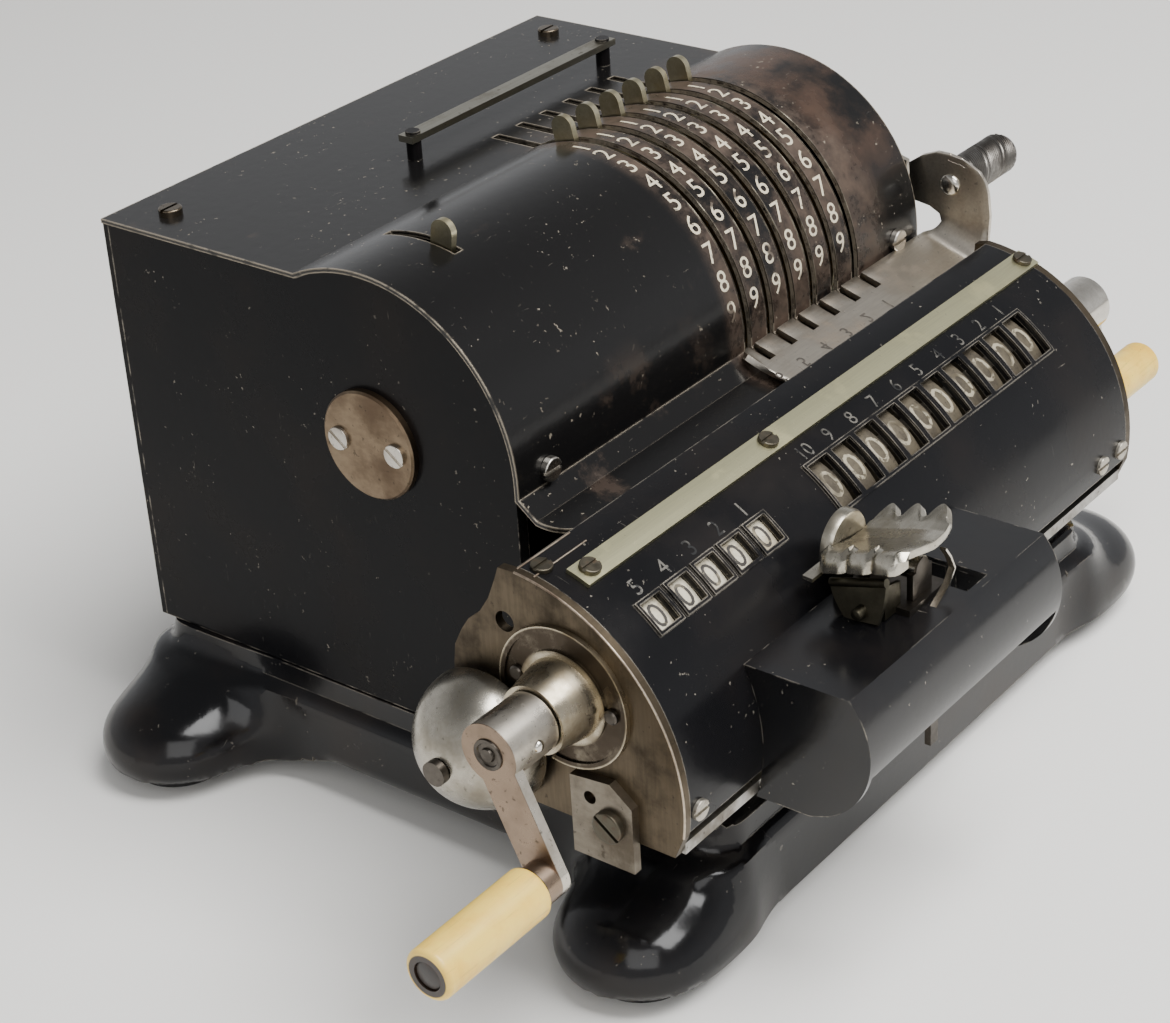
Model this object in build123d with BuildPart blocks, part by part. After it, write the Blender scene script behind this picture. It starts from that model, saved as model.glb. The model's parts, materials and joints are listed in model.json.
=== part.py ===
from build123d import *
from math import asin, atan2, cos, degrees, radians, sin, sqrt
import os

os.makedirs("parts", exist_ok=True)

# Pinwheel calculator: six setting levers, ten result wheels, five counter wheels.
# X runs to the right, Y to the rear and Z up. Most places are measured from the drum's axis,
# which runs along X at DRUM_Y, DRUM_Z. Lengths are in millimetres, angles in degrees.

# ---- body ----
BODY_WIDTH = 150.0
PLATE = 3.0
SHEET = 1.0
COVER_RADIUS = 38.3
DECK_RISE = 34.1
REAR_DEPTH = 73.4
REAR_SHEET = 1.5
RIM = 0.4
APRON_REACH = COVER_RADIUS + 12.1
APRON_DROP = 7.2
APRON_BEND = 4.3
APRON_BEND_DROP = 5.6
APRON_CORNER = 8.0
SEAM_DROP = 64.7

# ---- base casting and feet ----
BASE_SPREAD = 3.0
BASE_REAR = 76.0
BASE_FRONT = 88.0
BASE_HEIGHT = 25.3
BASE_WALL = 6.0
BASE_DECK = 4.3
BASE_CORNER = 8.0
BASE_EDGE = 2.0
SEAM_STEP = 2.5
SEAM_HEIGHT = 3.3
FOOT_RADIUS = 18.0
FOOT_HEIGHT = 17.0
FOOT_CROWN = 8.0
FOOT_LIP = 3.0
FLARE_START = 10.0
FLARE_LENGTH = 30.0
FLARE_THICK = 3.0
FLARE_RADIUS = 13.0
FOOT_X_FRONT = 88.0
FOOT_X_REAR = 86.5
FOOT_Y_FRONT = 73.0
FOOT_Y_REAR = 61.0
PAD_RADIUS = 11.0
PAD_HEIGHT = 5.0
WALL_HOLE_X = 64.8
WALL_HOLE_RISE = 15.5
WALL_HOLE_RADIUS = 2.0

# ---- lever columns ----
PITCH = 8.65
LEVERS = 6
FIRST_COLUMN = 4.8
RESULT_WHEELS = 10
COUNTER_WHEELS = 5
COUNTER_COLUMN = -54.8
ZERO_ANGLE = -13.5
LEVER_THICK = 1.6
LEVER_TIP = COVER_RADIUS + 5.7
LEVER_WIDTH = 5.5
RING_OUTER = COVER_RADIUS - 5.3
SLOT_WIDTH = 2.4
SLOT_START = -43.0
SLOT_END = 105.0
SLOT_INNER = COVER_RADIUS - 8.3
COUNT_SWING = 14.5
COUNT_ANGLE = 8.5
COUNT_RING = 11.0

# ---- drum ----
SHAFT_RADIUS = 5.0
SHAFT_NOSE = 3.5
RUNNING = 0.05
FIXED = 0.02
HUB_RADIUS = 23.8
DISC_RADIUS = 31.0
DISC_THICK = 4.0
DISC_GAP = 0.4
HUB_REACH = 1.0
SPACER_RADIUS = 12.0
STACK_GAP = 0.05
PINS = 9
PIN_STEP = 10.0
PIN_WIDTH = 2.0
PIN_THICK = 1.4
PIN_PLANE = 4.1
PIN_PROUD = 0.8
PIN_LENGTH = 6.0
CARRY_RADIUS = 28.0
CARRY_THICK = 2.6
CARRY_PIN = 3.0
FINGER_REACH = 36.5

# ---- bearings, cap and crank ----
BUSH_RADIUS = 8.0
BUSH_FLANGE = 12.5
FLANGE_THICK = 3.0
BUSH_INSIDE = 6.0
ARM_SEAT = 4.5
CAP_RADIUS = 12.2
CAP_THICK = 1.9
CAP_SCREW_OFFSET = 7.6
CRANK_RADIUS = 50.0
CRANK_HUB = 6.5
CRANK_HUB_START = 97.0
CRANK_FACE = 111.0
CRANK_ARM_THICK = 3.5
CRANK_ARM_WIDTH = 11.0
STUD_RADIUS = 3.0
MAIN_GRIP_RADIUS = 6.5
MAIN_GRIP_END = 160.0

# ---- screws ----
SCREW_HEAD = 2.6
SCREW_RISE = 1.6
SCREW_SHANK = 1.4
SCREW_LENGTH = 5.0
DRIVER_WIDTH = 0.8
DRIVER_DEPTH = 0.7
COVER_SCREW_X = 65.6
COVER_SCREW_Z = 0.8
DECK_SCREW_Y = 62.0
LUG_WIDTH = 10.0
LUG_DEPTH = 6.0
LUG_HEIGHT = 9.0

# ---- decimal rail ----
RAIL_LEFT = -17.5
RAIL_RIGHT = 57.0
RAIL_Y = 36.5
RAIL_WIDTH = 4.0
RAIL_THICK = 1.5
RAIL_GAP = 4.6
POST_INSET = 2.6
POST_RADIUS = 1.7
SPIGOT_RADIUS = 1.1
POST_HEAD = 1.7
POST_HEAD_RISE = 0.6

# ---- clearing comb ----
COMB_SIDE_GAP = 0.8
COMB_SHEET = 1.5
COMB_REACH = COVER_RADIUS + 16.4
COMB_RING = 13.0
COMB_BAR_REAR = COVER_RADIUS + 0.9
COMB_BAR_SHORT = COVER_RADIUS + 3.3
COMB_NOTCH = LEVER_TIP + 0.8
COMB_BAR_DROP = 2.5
COMB_BAR_SLOPE = 4.2
COMB_CORNER = 6.0
COMB_GAP = 4.8
COMB_GAP_LOW = -0.8
COMB_GAP_HIGH = 5.2
KNOB_Y = -COVER_RADIUS - 6.7
KNOB_Z = 11.2
KNOB_RADIUS = 5.0
KNOB_LENGTH = 24.5
KNOB_RINGS = 8
RIVET_RADIUS = 1.5

# ---- carriage ----
CARRIAGE_LEFT = -104.3
CARRIAGE_RIGHT = 71.6
END_PLATE = 2.0
PLATE_FOOT = 13.6
PLATE_FOOT_Z = -30.0
SIGHT_HOLE = -0.4
SIGHT_HOLE_Z = -8.6
COVER_Y = -COVER_RADIUS - 18.77
COVER_Z = -37.27
ARCH_RADIUS = 40.36
ARCH_SHEET = 1.2
ARCH_START = 4.0
ARCH_END = 97.5
RIM_RISE = 0.6
RIM_WIDTH = 0.8
REG_Y = COVER_Y - 13.93
REG_Z = -20.5
REG_SHAFT = 3.0
RESULT_WINDOW = 7.0
RESULT_OPEN = 31.7
RESULT_CLOSE = 47.0
COUNTER_WINDOW = 6.0
COUNTER_OPEN = 34.9
COUNTER_CLOSE = 43.5
STRIP_OPEN = 14.9
STRIP_CLOSE = 22.6
STRIP_THICK = 0.9
STRIP_LEFT = -97.5
STRIP_RIGHT = 71.0
STRIP_SCREW_ANGLE = 18.6
STRIP_SCREW_X = (-93.8, -34.9, 68.0)
SMALL_HEAD = 2.2
SMALL_RISE = 0.9
SMALL_SHANK = 1.0
WHEEL_RADIUS = 16.2
WHEEL_WIDTH = 6.4
GEAR_TEETH = 10
GEAR_TIP = 16.6
GEAR_ROOT = 12.4
GEAR_THICK = 1.5
BED_TOP = -45.5
BED_THICK = 2.5
BED_FRONT = COVER_Y - 38.93
BED_REAR = COVER_Y - 4.93
MID_PLATE_X = -43.2
COLLAR_RADIUS = 15.0
COLLAR_THICK = 1.0
COLLAR_RIM = 1.2
COLLAR_DISH = 0.5
RIGHT_COLLAR = 12.0
BOSS_ROOT = 8.8
BOSS_RADIUS = 7.2
LEFT_BOSS_END = -114.0
RIGHT_BOSS_END = 82.0

# ---- tie rods ----
TIE_ROD = 3.5
TIE_LIFT = 2.7
TIE_Y = 60.0
TIE_LOW = -50.0
TIE_HIGH = 18.0

# ---- transfer gears ----
TRANSFER_Y = COVER_Y + 13.57
TRANSFER_Z = -19.5
TRANSFER_TIP = 9.8
TRANSFER_ROOT = 6.6
TRANSFER_TEETH = 10
TRANSFER_SHAFT = 2.8
BRACKET_X = 65.0
BRACKET_THICK = 2.5

# ---- guide rail ----
GUIDE_HALF = 66.0
GUIDE_Y = COVER_Y - 18.93
GUIDE_WIDTH = 8.0
GUIDE_TOP = -50.0
GUIDE_HEIGHT = 6.0
SHOE_WALL = 3.0
SHOE_LENGTH = 14.0
SHOE_X = (-58.0, 24.0)
SLIDE_GAP = 0.1

# ---- register cranks ----
ARM_RADIUS = 26.0
ARM_THICK = 2.4
ARM_WIDTH = 8.5
GRIP_RADIUS = 5.3
GRIP_GAP = 0.4
COUNTER_HUB = 6.3
COUNTER_HUB_END = -127.0
COUNTER_BOSS_END = -130.6
COUNTER_GRIP_END = -160.0
COUNTER_CRANK_ANGLE = 25.0
RESULT_HUB = 6.7
RESULT_HUB_END = 98.0
RESULT_BOSS_END = 98.6
RESULT_GRIP_END = 124.5
RESULT_CRANK_ANGLE = 6.0
SMALL_STUD = 2.0
STUD_CAVITY = 3.4
STUD_CAVITY_DEPTH = 2.0

# ---- bell and stop ----
BELL_RADIUS = 14.5
BELL_SHEET = 1.2
BELL_MOUTH = -106.2
BELL_Y = COVER_Y + 4.67
BELL_Z = -34.8
BELL_POST = 2.5
BELL_SCREW = 2.6
STOP_SCREW_Y = COVER_Y - 24.53
STOP_SCREW_Z = -44.6
STOP_HEAD = 3.4
STOP_LEFT = STOP_SCREW_Y - 5.2
STOP_RIGHT = STOP_SCREW_Y + 9.2
STOP_TOP = -36.3
STOP_BOTTOM = -54.0

# ---- shift housing ----
HOUSING_LEFT = -78.4
HOUSING_RIGHT = -5.4
HOUSING_SHEET = 1.2
HOUSING_TOP = -19.7
HOUSING_EDGE = COVER_Y - 59.83
HOUSING_FRONT = HOUSING_EDGE - 4.6
HOUSING_BOTTOM = -49.1
HOUSING_LIP = -36.0
ROCKER_X = -40.5
ROCKER_Y = COVER_Y - 46.93
ROCKER_Z = -12.6
ROCKER_HALF = 13.5
ROCKER_DEPTH = 14.0
ROCKER_RISE = 3.9
ROCKER_SHEET = 1.4
ROCKER_BORE = 1.3
EAR_SHEET = 1.4
EAR_WIDTH = 7.0
TAB_Y = COVER_Y - 37.83
TAB_Z = -16.0
TAB_PIN = 1.0
TAB_HUB = 1.9
TAB_WIDTH = 9.0
TAB_TILT = 15.0
TAB_HEIGHT = 11.0
LATCH_Y = ROCKER_Y - 8.0
HATCH_LEFT = ROCKER_X + 7.3
HATCH_RIGHT = ROCKER_X + 15.0
HATCH_FRONT = HOUSING_EDGE + 1.6
HATCH_REAR = ROCKER_Y + 5.0

# ---- derived places ----
HALF = BODY_WIDTH / 2
INSIDE = HALF - PLATE
INNER_RADIUS = COVER_RADIUS - SHEET
COLUMNS = [FIRST_COLUMN + PITCH * k for k in range(LEVERS)]
RESULT_COLUMNS = [COLUMNS[-1] - PITCH * k for k in range(RESULT_WHEELS)]
COUNTER_COLUMNS = [COUNTER_COLUMN - PITCH * k for k in range(COUNTER_WHEELS)]
CARRY_COLUMNS = RESULT_COLUMNS[LEVERS:]
FLOOR_DROP = SEAM_DROP + BASE_HEIGHT + PAD_HEIGHT
DRUM_Y = (-HOUSING_FRONT - FOOT_Y_REAR - FOOT_RADIUS) / 2
DRUM_Z = FLOOR_DROP
FOOT_DROP = SEAM_DROP + BASE_HEIGHT
COMB_X = HALF + FLANGE_THICK + COMB_SIDE_GAP
SCREW_LUG_IN = COVER_SCREW_X - LUG_WIDTH / 2


def side(x, y=0.0, z=0.0):
    """Plane square to X at station x; its origin is y, z from the drum's axis."""
    return Plane(origin=(x, DRUM_Y + y, DRUM_Z + z), x_dir=(0, 1, 0), z_dir=(1, 0, 0))


def level(z, x=0.0, y=0.0):
    """Level plane at height z from the drum's axis."""
    return Plane(origin=(x, DRUM_Y + y, DRUM_Z + z), x_dir=(1, 0, 0), z_dir=(0, 0, 1))


def front_plane(x, y, z):
    """Plane square to Y, looking to the front."""
    return Plane(origin=(x, DRUM_Y + y, DRUM_Z + z), x_dir=(1, 0, 0), z_dir=(0, -1, 0))


def polar(radius, angle):
    """Point on a side plane, its angle turned from straight up towards the front."""
    return (-radius * sin(radians(angle)), radius * cos(radians(angle)))


def finish(name, builder):
    """Label a finished piece and write it."""
    builder.part.label = name
    export_step(builder.part, f"parts/{name}.step")


def ring_sector(inner, outer, start, end):
    """Part of a ring between two angles."""
    middle = (start + end) / 2
    with BuildSketch() as sector:
        with BuildLine():
            ThreePointArc(polar(outer, start), polar(outer, middle), polar(outer, end))
            Line(polar(outer, end), polar(inner, end))
            ThreePointArc(polar(inner, end), polar(inner, middle), polar(inner, start))
            Line(polar(inner, start), polar(outer, start))
        make_face()
    return sector.sketch


def bar_between(width, near, far, angle):
    """Round-ended bar on a ray from the origin, from radius near to radius far."""
    with BuildSketch() as bar:
        with Locations(polar((near + far) / 2, angle)):
            SlotOverall(far - near, width, rotation=90 + angle)
    return bar.sketch


def screw(head, rise, shank, length):
    """Slotted cheese-head screw with its seat at the origin and its head upwards."""
    with BuildPart() as fastener:
        Cylinder(head, rise, align=(Align.CENTER, Align.CENTER, Align.MIN))
        fillet(fastener.faces().sort_by(Axis.Z)[-1].edges(), rise / 4)
        Cylinder(shank, length, align=(Align.CENTER, Align.CENTER, Align.MAX))
        with Locations((0, 0, rise)):
            Box(2 * head, DRIVER_WIDTH, 2 * min(DRIVER_DEPTH, rise / 2), mode=Mode.SUBTRACT)
    return fastener.part


def toothed(teeth, tip, root):
    """Gear outline with plain tapered teeth."""
    step = 360 / teeth
    points = []
    for tooth in range(teeth):
        for radius, share in ((root, -0.27), (tip, -0.14), (tip, 0.14), (root, 0.27)):
            points.append(polar(radius, (tooth + share) * step))
    with BuildSketch() as gear:
        with BuildLine():
            Polyline(*points, close=True)
        make_face()
    return gear.sketch


def cover_screw_seats():
    """Seats of the four body screws: two in front, two on the deck."""
    seats = []
    for x in (-COVER_SCREW_X, COVER_SCREW_X):
        seats += [front_plane(x, -COVER_RADIUS, COVER_SCREW_Z), level(DECK_RISE, x, DECK_SCREW_Y)]
    return seats


def arch_plane(x, angle, radius):
    """Plane on the carriage's arched cover, looking out along the radius."""
    y, z = polar(radius, angle)
    up = (0, -sin(radians(angle)), cos(radians(angle)))
    return Plane(origin=(x, DRUM_Y + COVER_Y + y, DRUM_Z + COVER_Z + z), x_dir=(1, 0, 0), z_dir=up)


# ---- base ----
def make_foot():
    """One rounded foot of the base, standing at the origin."""
    with BuildPart() as foot:
        Cylinder(FOOT_RADIUS, FOOT_HEIGHT, align=(Align.CENTER, Align.CENTER, Align.MIN))
        fillet(foot.faces().sort_by(Axis.Z)[-1].edges(), FOOT_CROWN)
        fillet(foot.faces().sort_by(Axis.Z)[0].edges(), FOOT_LIP)
    return foot.part


def make_flare(x, y):
    """Web that rises from a foot to the side wall of the base."""
    wall = HALF + BASE_SPREAD - FLARE_THICK / 2
    toward = 1 if x > 0 else -1
    inward = -1 if y > 0 else 1
    with BuildPart() as flare:
        with BuildSketch(level(FLARE_START - FOOT_DROP, x, y)):
            Circle(FLARE_RADIUS)
        with BuildSketch(level(BASE_HEIGHT - SEAM_HEIGHT - BASE_EDGE - FOOT_DROP, toward * wall, y + 2 * inward)):
            RectangleRounded(FLARE_THICK, FLARE_LENGTH, FLARE_THICK / 3)
        loft(ruled=True)
    return flare.part


def foot_places(drop):
    """Level planes at the four feet."""
    places = []
    for sign in (-1, 1):
        places.append(level(-drop, sign * FOOT_X_FRONT, -FOOT_Y_FRONT))
        places.append(level(-drop, sign * FOOT_X_REAR, FOOT_Y_REAR))
    return places


def make_base():
    """Cast base with its deck, open underneath, on four rounded feet."""
    depth = BASE_REAR + BASE_FRONT
    middle = (BASE_REAR - BASE_FRONT) / 2
    width = BODY_WIDTH + 2 * BASE_SPREAD
    with BuildPart() as base:
        with BuildSketch(level(-FOOT_DROP, 0, middle)):
            RectangleRounded(width, depth, BASE_CORNER)
        extrude(amount=BASE_HEIGHT - SEAM_HEIGHT)
        chamfer(base.faces().sort_by(Axis.Z)[-1].edges(), BASE_EDGE)
        with BuildSketch(level(-SEAM_DROP - SEAM_HEIGHT, 0, middle)):
            RectangleRounded(width - 2 * SEAM_STEP, depth - 2 * SEAM_STEP, BASE_CORNER)
        extrude(amount=SEAM_HEIGHT)
        with Locations(*foot_places(FOOT_DROP)):
            add(make_foot())
        for sign in (-1, 1):
            add(make_flare(sign * FOOT_X_FRONT, -FOOT_Y_FRONT))
            add(make_flare(sign * FOOT_X_REAR, FOOT_Y_REAR))
        with BuildSketch(level(-FOOT_DROP, 0, middle)):
            Rectangle(width - 2 * BASE_WALL, depth - 2 * BASE_WALL)
        extrude(amount=BASE_HEIGHT - BASE_DECK, mode=Mode.SUBTRACT)
        with BuildSketch(front_plane(0, -BASE_FRONT, WALL_HOLE_RISE - FOOT_DROP)):
            with Locations((-WALL_HOLE_X, 0), (WALL_HOLE_X, 0)):
                Circle(WALL_HOLE_RADIUS)
        extrude(amount=-BASE_WALL, mode=Mode.SUBTRACT)
    finish("base_casting", base)


def make_pads():
    """Four rubber pads under the feet."""
    with BuildPart() as pads:
        for place in foot_places(FLOOR_DROP):
            with BuildSketch(place):
                Circle(PAD_RADIUS)
            extrude(amount=PAD_HEIGHT)
    finish("foot_pads", pads)


# ---- body ----
def plate_outline(radius, deck, rear):
    """Side view of the body: deck, drum arch and straight front."""
    meet = sqrt(radius**2 - deck**2)
    crest = (90 - degrees(atan2(meet, deck))) / 2
    with BuildSketch() as outline:
        with BuildLine():
            ThreePointArc((meet, deck), polar(radius, crest), (-radius, 0))
            Polyline((-radius, 0), (-radius, -SEAM_DROP), (rear, -SEAM_DROP), (rear, deck), (meet, deck))
        make_face()
    return outline.sketch


def make_side_plate(name, sign):
    """Side plate with the lugs that hold the cover's screws."""
    start = INSIDE if sign > 0 else -HALF
    deck = DECK_RISE - SHEET
    with BuildPart() as plate:
        with BuildSketch(side(start)):
            add(plate_outline(INNER_RADIUS, deck, REAR_DEPTH - REAR_SHEET))
            Circle(BUSH_RADIUS + FIXED, mode=Mode.SUBTRACT)
        extrude(amount=PLATE)
        lug_x = sign * (SCREW_LUG_IN + INSIDE) / 2
        lug_length = INSIDE - SCREW_LUG_IN
        with Locations((lug_x, DRUM_Y - INNER_RADIUS + LUG_DEPTH / 2, DRUM_Z + COVER_SCREW_Z)):
            Box(lug_length, LUG_DEPTH, LUG_HEIGHT)
        with Locations((lug_x, DRUM_Y + DECK_SCREW_Y, DRUM_Z + deck - LUG_DEPTH / 2)):
            Box(lug_length, LUG_HEIGHT, LUG_DEPTH)
        with BuildSketch(side(-HALF)):
            add(plate_outline(INNER_RADIUS, deck, REAR_DEPTH - REAR_SHEET))
        extrude(amount=BODY_WIDTH, mode=Mode.INTERSECT)
        for seat in cover_screw_seats():
            with BuildSketch(seat):
                Circle(SCREW_SHANK + FIXED)
            extrude(amount=-SCREW_LENGTH - SHEET, mode=Mode.SUBTRACT)
    finish(name, plate)


def make_drum_cover():
    """One sheet: flat deck, drum arch and the apron in front, slotted for the levers."""
    meet = sqrt(COVER_RADIUS**2 - DECK_RISE**2)
    meet_in = sqrt(INNER_RADIUS**2 - (DECK_RISE - SHEET) ** 2)
    crest = (90 - degrees(atan2(meet, DECK_RISE))) / 2
    bend_y = -COVER_RADIUS - APRON_BEND
    bend_z = -APRON_BEND_DROP
    length = BODY_WIDTH + 2 * RIM
    with BuildPart() as cover:
        with BuildSketch(side(-length / 2)):
            with BuildLine():
                Line((REAR_DEPTH, DECK_RISE), (meet, DECK_RISE))
                ThreePointArc((meet, DECK_RISE), polar(COVER_RADIUS, crest), (-COVER_RADIUS, 0))
                Polyline(
                    (-COVER_RADIUS, 0),
                    (-COVER_RADIUS, -2.2 * SHEET),
                    (bend_y, bend_z),
                    (-APRON_REACH, -APRON_DROP),
                    (-APRON_REACH, -APRON_DROP - SHEET),
                    (bend_y + 0.4 * SHEET, bend_z - SHEET),
                    (-INNER_RADIUS, -2.7 * SHEET),
                    (-INNER_RADIUS, 0),
                )
                ThreePointArc((-INNER_RADIUS, 0), polar(INNER_RADIUS, crest), (meet_in, DECK_RISE - SHEET))
                Polyline(
                    (meet_in, DECK_RISE - SHEET),
                    (REAR_DEPTH, DECK_RISE - SHEET),
                    (REAR_DEPTH, DECK_RISE),
                )
            make_face()
        extrude(amount=length)
        with BuildSketch(level(-COVER_RADIUS, 0, (REAR_DEPTH - APRON_REACH) / 2)) as plan:
            Rectangle(length, REAR_DEPTH + APRON_REACH)
            fillet(plan.vertices().group_by(Axis.Y)[0], APRON_CORNER)
        extrude(amount=2 * COVER_RADIUS, mode=Mode.INTERSECT)
        for column in COLUMNS:
            with BuildSketch(side(column - SLOT_WIDTH / 2)):
                add(ring_sector(SLOT_INNER, LEVER_TIP + 1, SLOT_START, SLOT_END))
            extrude(amount=SLOT_WIDTH, mode=Mode.SUBTRACT)
        with BuildSketch(side(COUNTER_COLUMN - SLOT_WIDTH / 2)):
            add(ring_sector(SLOT_INNER, LEVER_TIP, -COUNT_SWING, COUNT_SWING))
        extrude(amount=SLOT_WIDTH, mode=Mode.SUBTRACT)
        for seat in cover_screw_seats():
            with BuildSketch(seat):
                Circle(SCREW_SHANK + FIXED)
            extrude(amount=-2 * SHEET, mode=Mode.SUBTRACT)
    finish("drum_cover", cover)


def make_rear_panel():
    """Flat sheet that closes the back."""
    with BuildPart() as panel:
        with BuildSketch(level(-SEAM_DROP, 0, REAR_DEPTH - REAR_SHEET / 2)):
            Rectangle(BODY_WIDTH, REAR_SHEET)
        extrude(amount=SEAM_DROP + DECK_RISE - SHEET)
    finish("rear_panel", panel)


def cap_screw_seats():
    """Seats of the two screws in the left bearing cap."""
    seats = []
    for y in (-CAP_SCREW_OFFSET, CAP_SCREW_OFFSET):
        origin = (-HALF - CAP_THICK, DRUM_Y + y, DRUM_Z)
        seats.append(Plane(origin=origin, x_dir=(0, 0.8, 0.6), z_dir=(-1, 0, 0)))
    return seats


def make_frame_screws():
    """Slotted screws of the body and of the bearing cap, all alike."""
    with BuildPart() as screws:
        with Locations(*cover_screw_seats()):
            add(screw(SCREW_HEAD, SCREW_RISE, SCREW_SHANK, SCREW_LENGTH))
        with Locations(*cap_screw_seats()):
            add(screw(SCREW_HEAD, SCREW_RISE / 2, SCREW_SHANK, CAP_THICK))
    finish("frame_screws", screws)


def make_cap():
    """Round cap over the left end of the drum's shaft."""
    with BuildPart() as cap:
        with BuildSketch(side(-HALF - CAP_THICK)):
            Circle(CAP_RADIUS)
        extrude(amount=CAP_THICK)
        chamfer(cap.faces().sort_by(Axis.X)[0].edges(), CAP_THICK / 4)
        for seat in cap_screw_seats():
            with BuildSketch(seat):
                Circle(SCREW_SHANK + FIXED)
            extrude(amount=-CAP_THICK, mode=Mode.SUBTRACT)
    finish("axle_cap", cap)


def make_bushes():
    """Two bearing bushes; the right one also carries the comb's arm."""
    with BuildPart() as bushes:
        with BuildSketch(side(-HALF)):
            Circle(BUSH_RADIUS)
            Circle(SHAFT_RADIUS + RUNNING, mode=Mode.SUBTRACT)
        extrude(amount=PLATE + BUSH_INSIDE)
        with BuildSketch(side(INSIDE - BUSH_INSIDE)):
            Circle(BUSH_RADIUS)
            Circle(SHAFT_RADIUS + RUNNING, mode=Mode.SUBTRACT)
        extrude(amount=BUSH_INSIDE + PLATE + FLANGE_THICK + ARM_SEAT)
        with BuildSketch(side(HALF)):
            Circle(BUSH_FLANGE)
            Circle(SHAFT_RADIUS + RUNNING, mode=Mode.SUBTRACT)
        extrude(amount=FLANGE_THICK)
    finish("drum_bushes", bushes)


def post_places():
    """Stations of the two posts under the decimal rail."""
    return (RAIL_LEFT + POST_INSET, RAIL_RIGHT - POST_INSET)


def make_rail():
    """Nickel rail above the deck that carries the decimal marks."""
    with BuildPart() as rail:
        with BuildSketch(level(DECK_RISE + RAIL_GAP, (RAIL_LEFT + RAIL_RIGHT) / 2, RAIL_Y)):
            Rectangle(RAIL_RIGHT - RAIL_LEFT, RAIL_WIDTH)
        extrude(amount=RAIL_THICK)
        with BuildSketch(level(DECK_RISE + RAIL_GAP, 0, RAIL_Y)):
            with Locations(*[(x, 0) for x in post_places()]):
                Circle(SPIGOT_RADIUS + FIXED)
        extrude(amount=RAIL_THICK, mode=Mode.SUBTRACT)
    finish("decimal_rail", rail)


def make_posts():
    """Two posts with spigots through the rail and small heads on top."""
    with BuildPart() as posts:
        for x in post_places():
            with BuildSketch(level(DECK_RISE, x, RAIL_Y)):
                Circle(POST_RADIUS)
            extrude(amount=RAIL_GAP)
            with BuildSketch(level(DECK_RISE + RAIL_GAP, x, RAIL_Y)):
                Circle(SPIGOT_RADIUS)
            extrude(amount=RAIL_THICK)
            with BuildSketch(level(DECK_RISE + RAIL_GAP + RAIL_THICK, x, RAIL_Y)):
                Circle(POST_HEAD)
            extrude(amount=POST_HEAD_RISE)
    finish("rail_posts", posts)


# ---- inner frame ----
def make_inner_frame():
    """Tie rods, the bracket of the transfer gears and their fixed shaft."""
    rod = TIE_ROD
    beam_low = -SEAM_DROP + TIE_LIFT
    with BuildPart() as frame:
        with BuildSketch(side(-INSIDE)):
            with Locations((TIE_Y, TIE_LOW), (TIE_Y, TIE_HIGH)):
                Circle(rod)
        extrude(amount=2 * INSIDE)
        with BuildSketch(side(-INSIDE)):
            with Locations((-INNER_RADIUS + rod, beam_low + rod)):
                Rectangle(2 * rod, 2 * rod)
        extrude(amount=2 * INSIDE)
        for start in (-BRACKET_X - BRACKET_THICK, BRACKET_X):
            with BuildSketch(side(start)):
                with BuildLine():
                    Polyline(
                        (-INNER_RADIUS, beam_low),
                        (-INNER_RADIUS + 2 * rod, beam_low),
                        (TRANSFER_Y + 2 * rod, TRANSFER_Z),
                        (TRANSFER_Y, TRANSFER_Z + 2 * TRANSFER_SHAFT),
                        (TRANSFER_Y - 2 * TRANSFER_SHAFT, TRANSFER_Z),
                        close=True,
                    )
                make_face()
                with Locations((TRANSFER_Y, TRANSFER_Z)):
                    Circle(TRANSFER_SHAFT + FIXED, mode=Mode.SUBTRACT)
            extrude(amount=BRACKET_THICK)
        with BuildSketch(side(-BRACKET_X - BRACKET_THICK, TRANSFER_Y, TRANSFER_Z)):
            Circle(TRANSFER_SHAFT)
        extrude(amount=2 * (BRACKET_X + BRACKET_THICK))
    finish("inner_frame", frame)


def make_guide_rail():
    """Rail on the base along which the carriage slides."""
    foot_height = SEAM_DROP + GUIDE_TOP - GUIDE_HEIGHT
    with BuildPart() as rail:
        with BuildSketch(level(GUIDE_TOP - GUIDE_HEIGHT, 0, GUIDE_Y)):
            Rectangle(2 * GUIDE_HALF, GUIDE_WIDTH)
        extrude(amount=GUIDE_HEIGHT)
        with BuildSketch(level(-SEAM_DROP, 0, GUIDE_Y)):
            with Locations((-GUIDE_HALF * 0.75, 0), (GUIDE_HALF * 0.75, 0)):
                Rectangle(2 * GUIDE_WIDTH, GUIDE_WIDTH)
        extrude(amount=foot_height)
    finish("guide_rail", rail)


# ---- drum ----
def make_drum_shaft():
    """Shaft of the pinwheel drum, with a thinner nose for the crank."""
    shoulder = HALF + FLANGE_THICK + ARM_SEAT + 1
    with BuildPart() as shaft:
        with BuildSketch(side(-HALF)):
            Circle(SHAFT_RADIUS)
        extrude(amount=HALF + shoulder)
        with BuildSketch(side(shoulder)):
            Circle(SHAFT_NOSE)
        extrude(amount=CRANK_FACE - shoulder)
    finish("drum_shaft", shaft)


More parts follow.
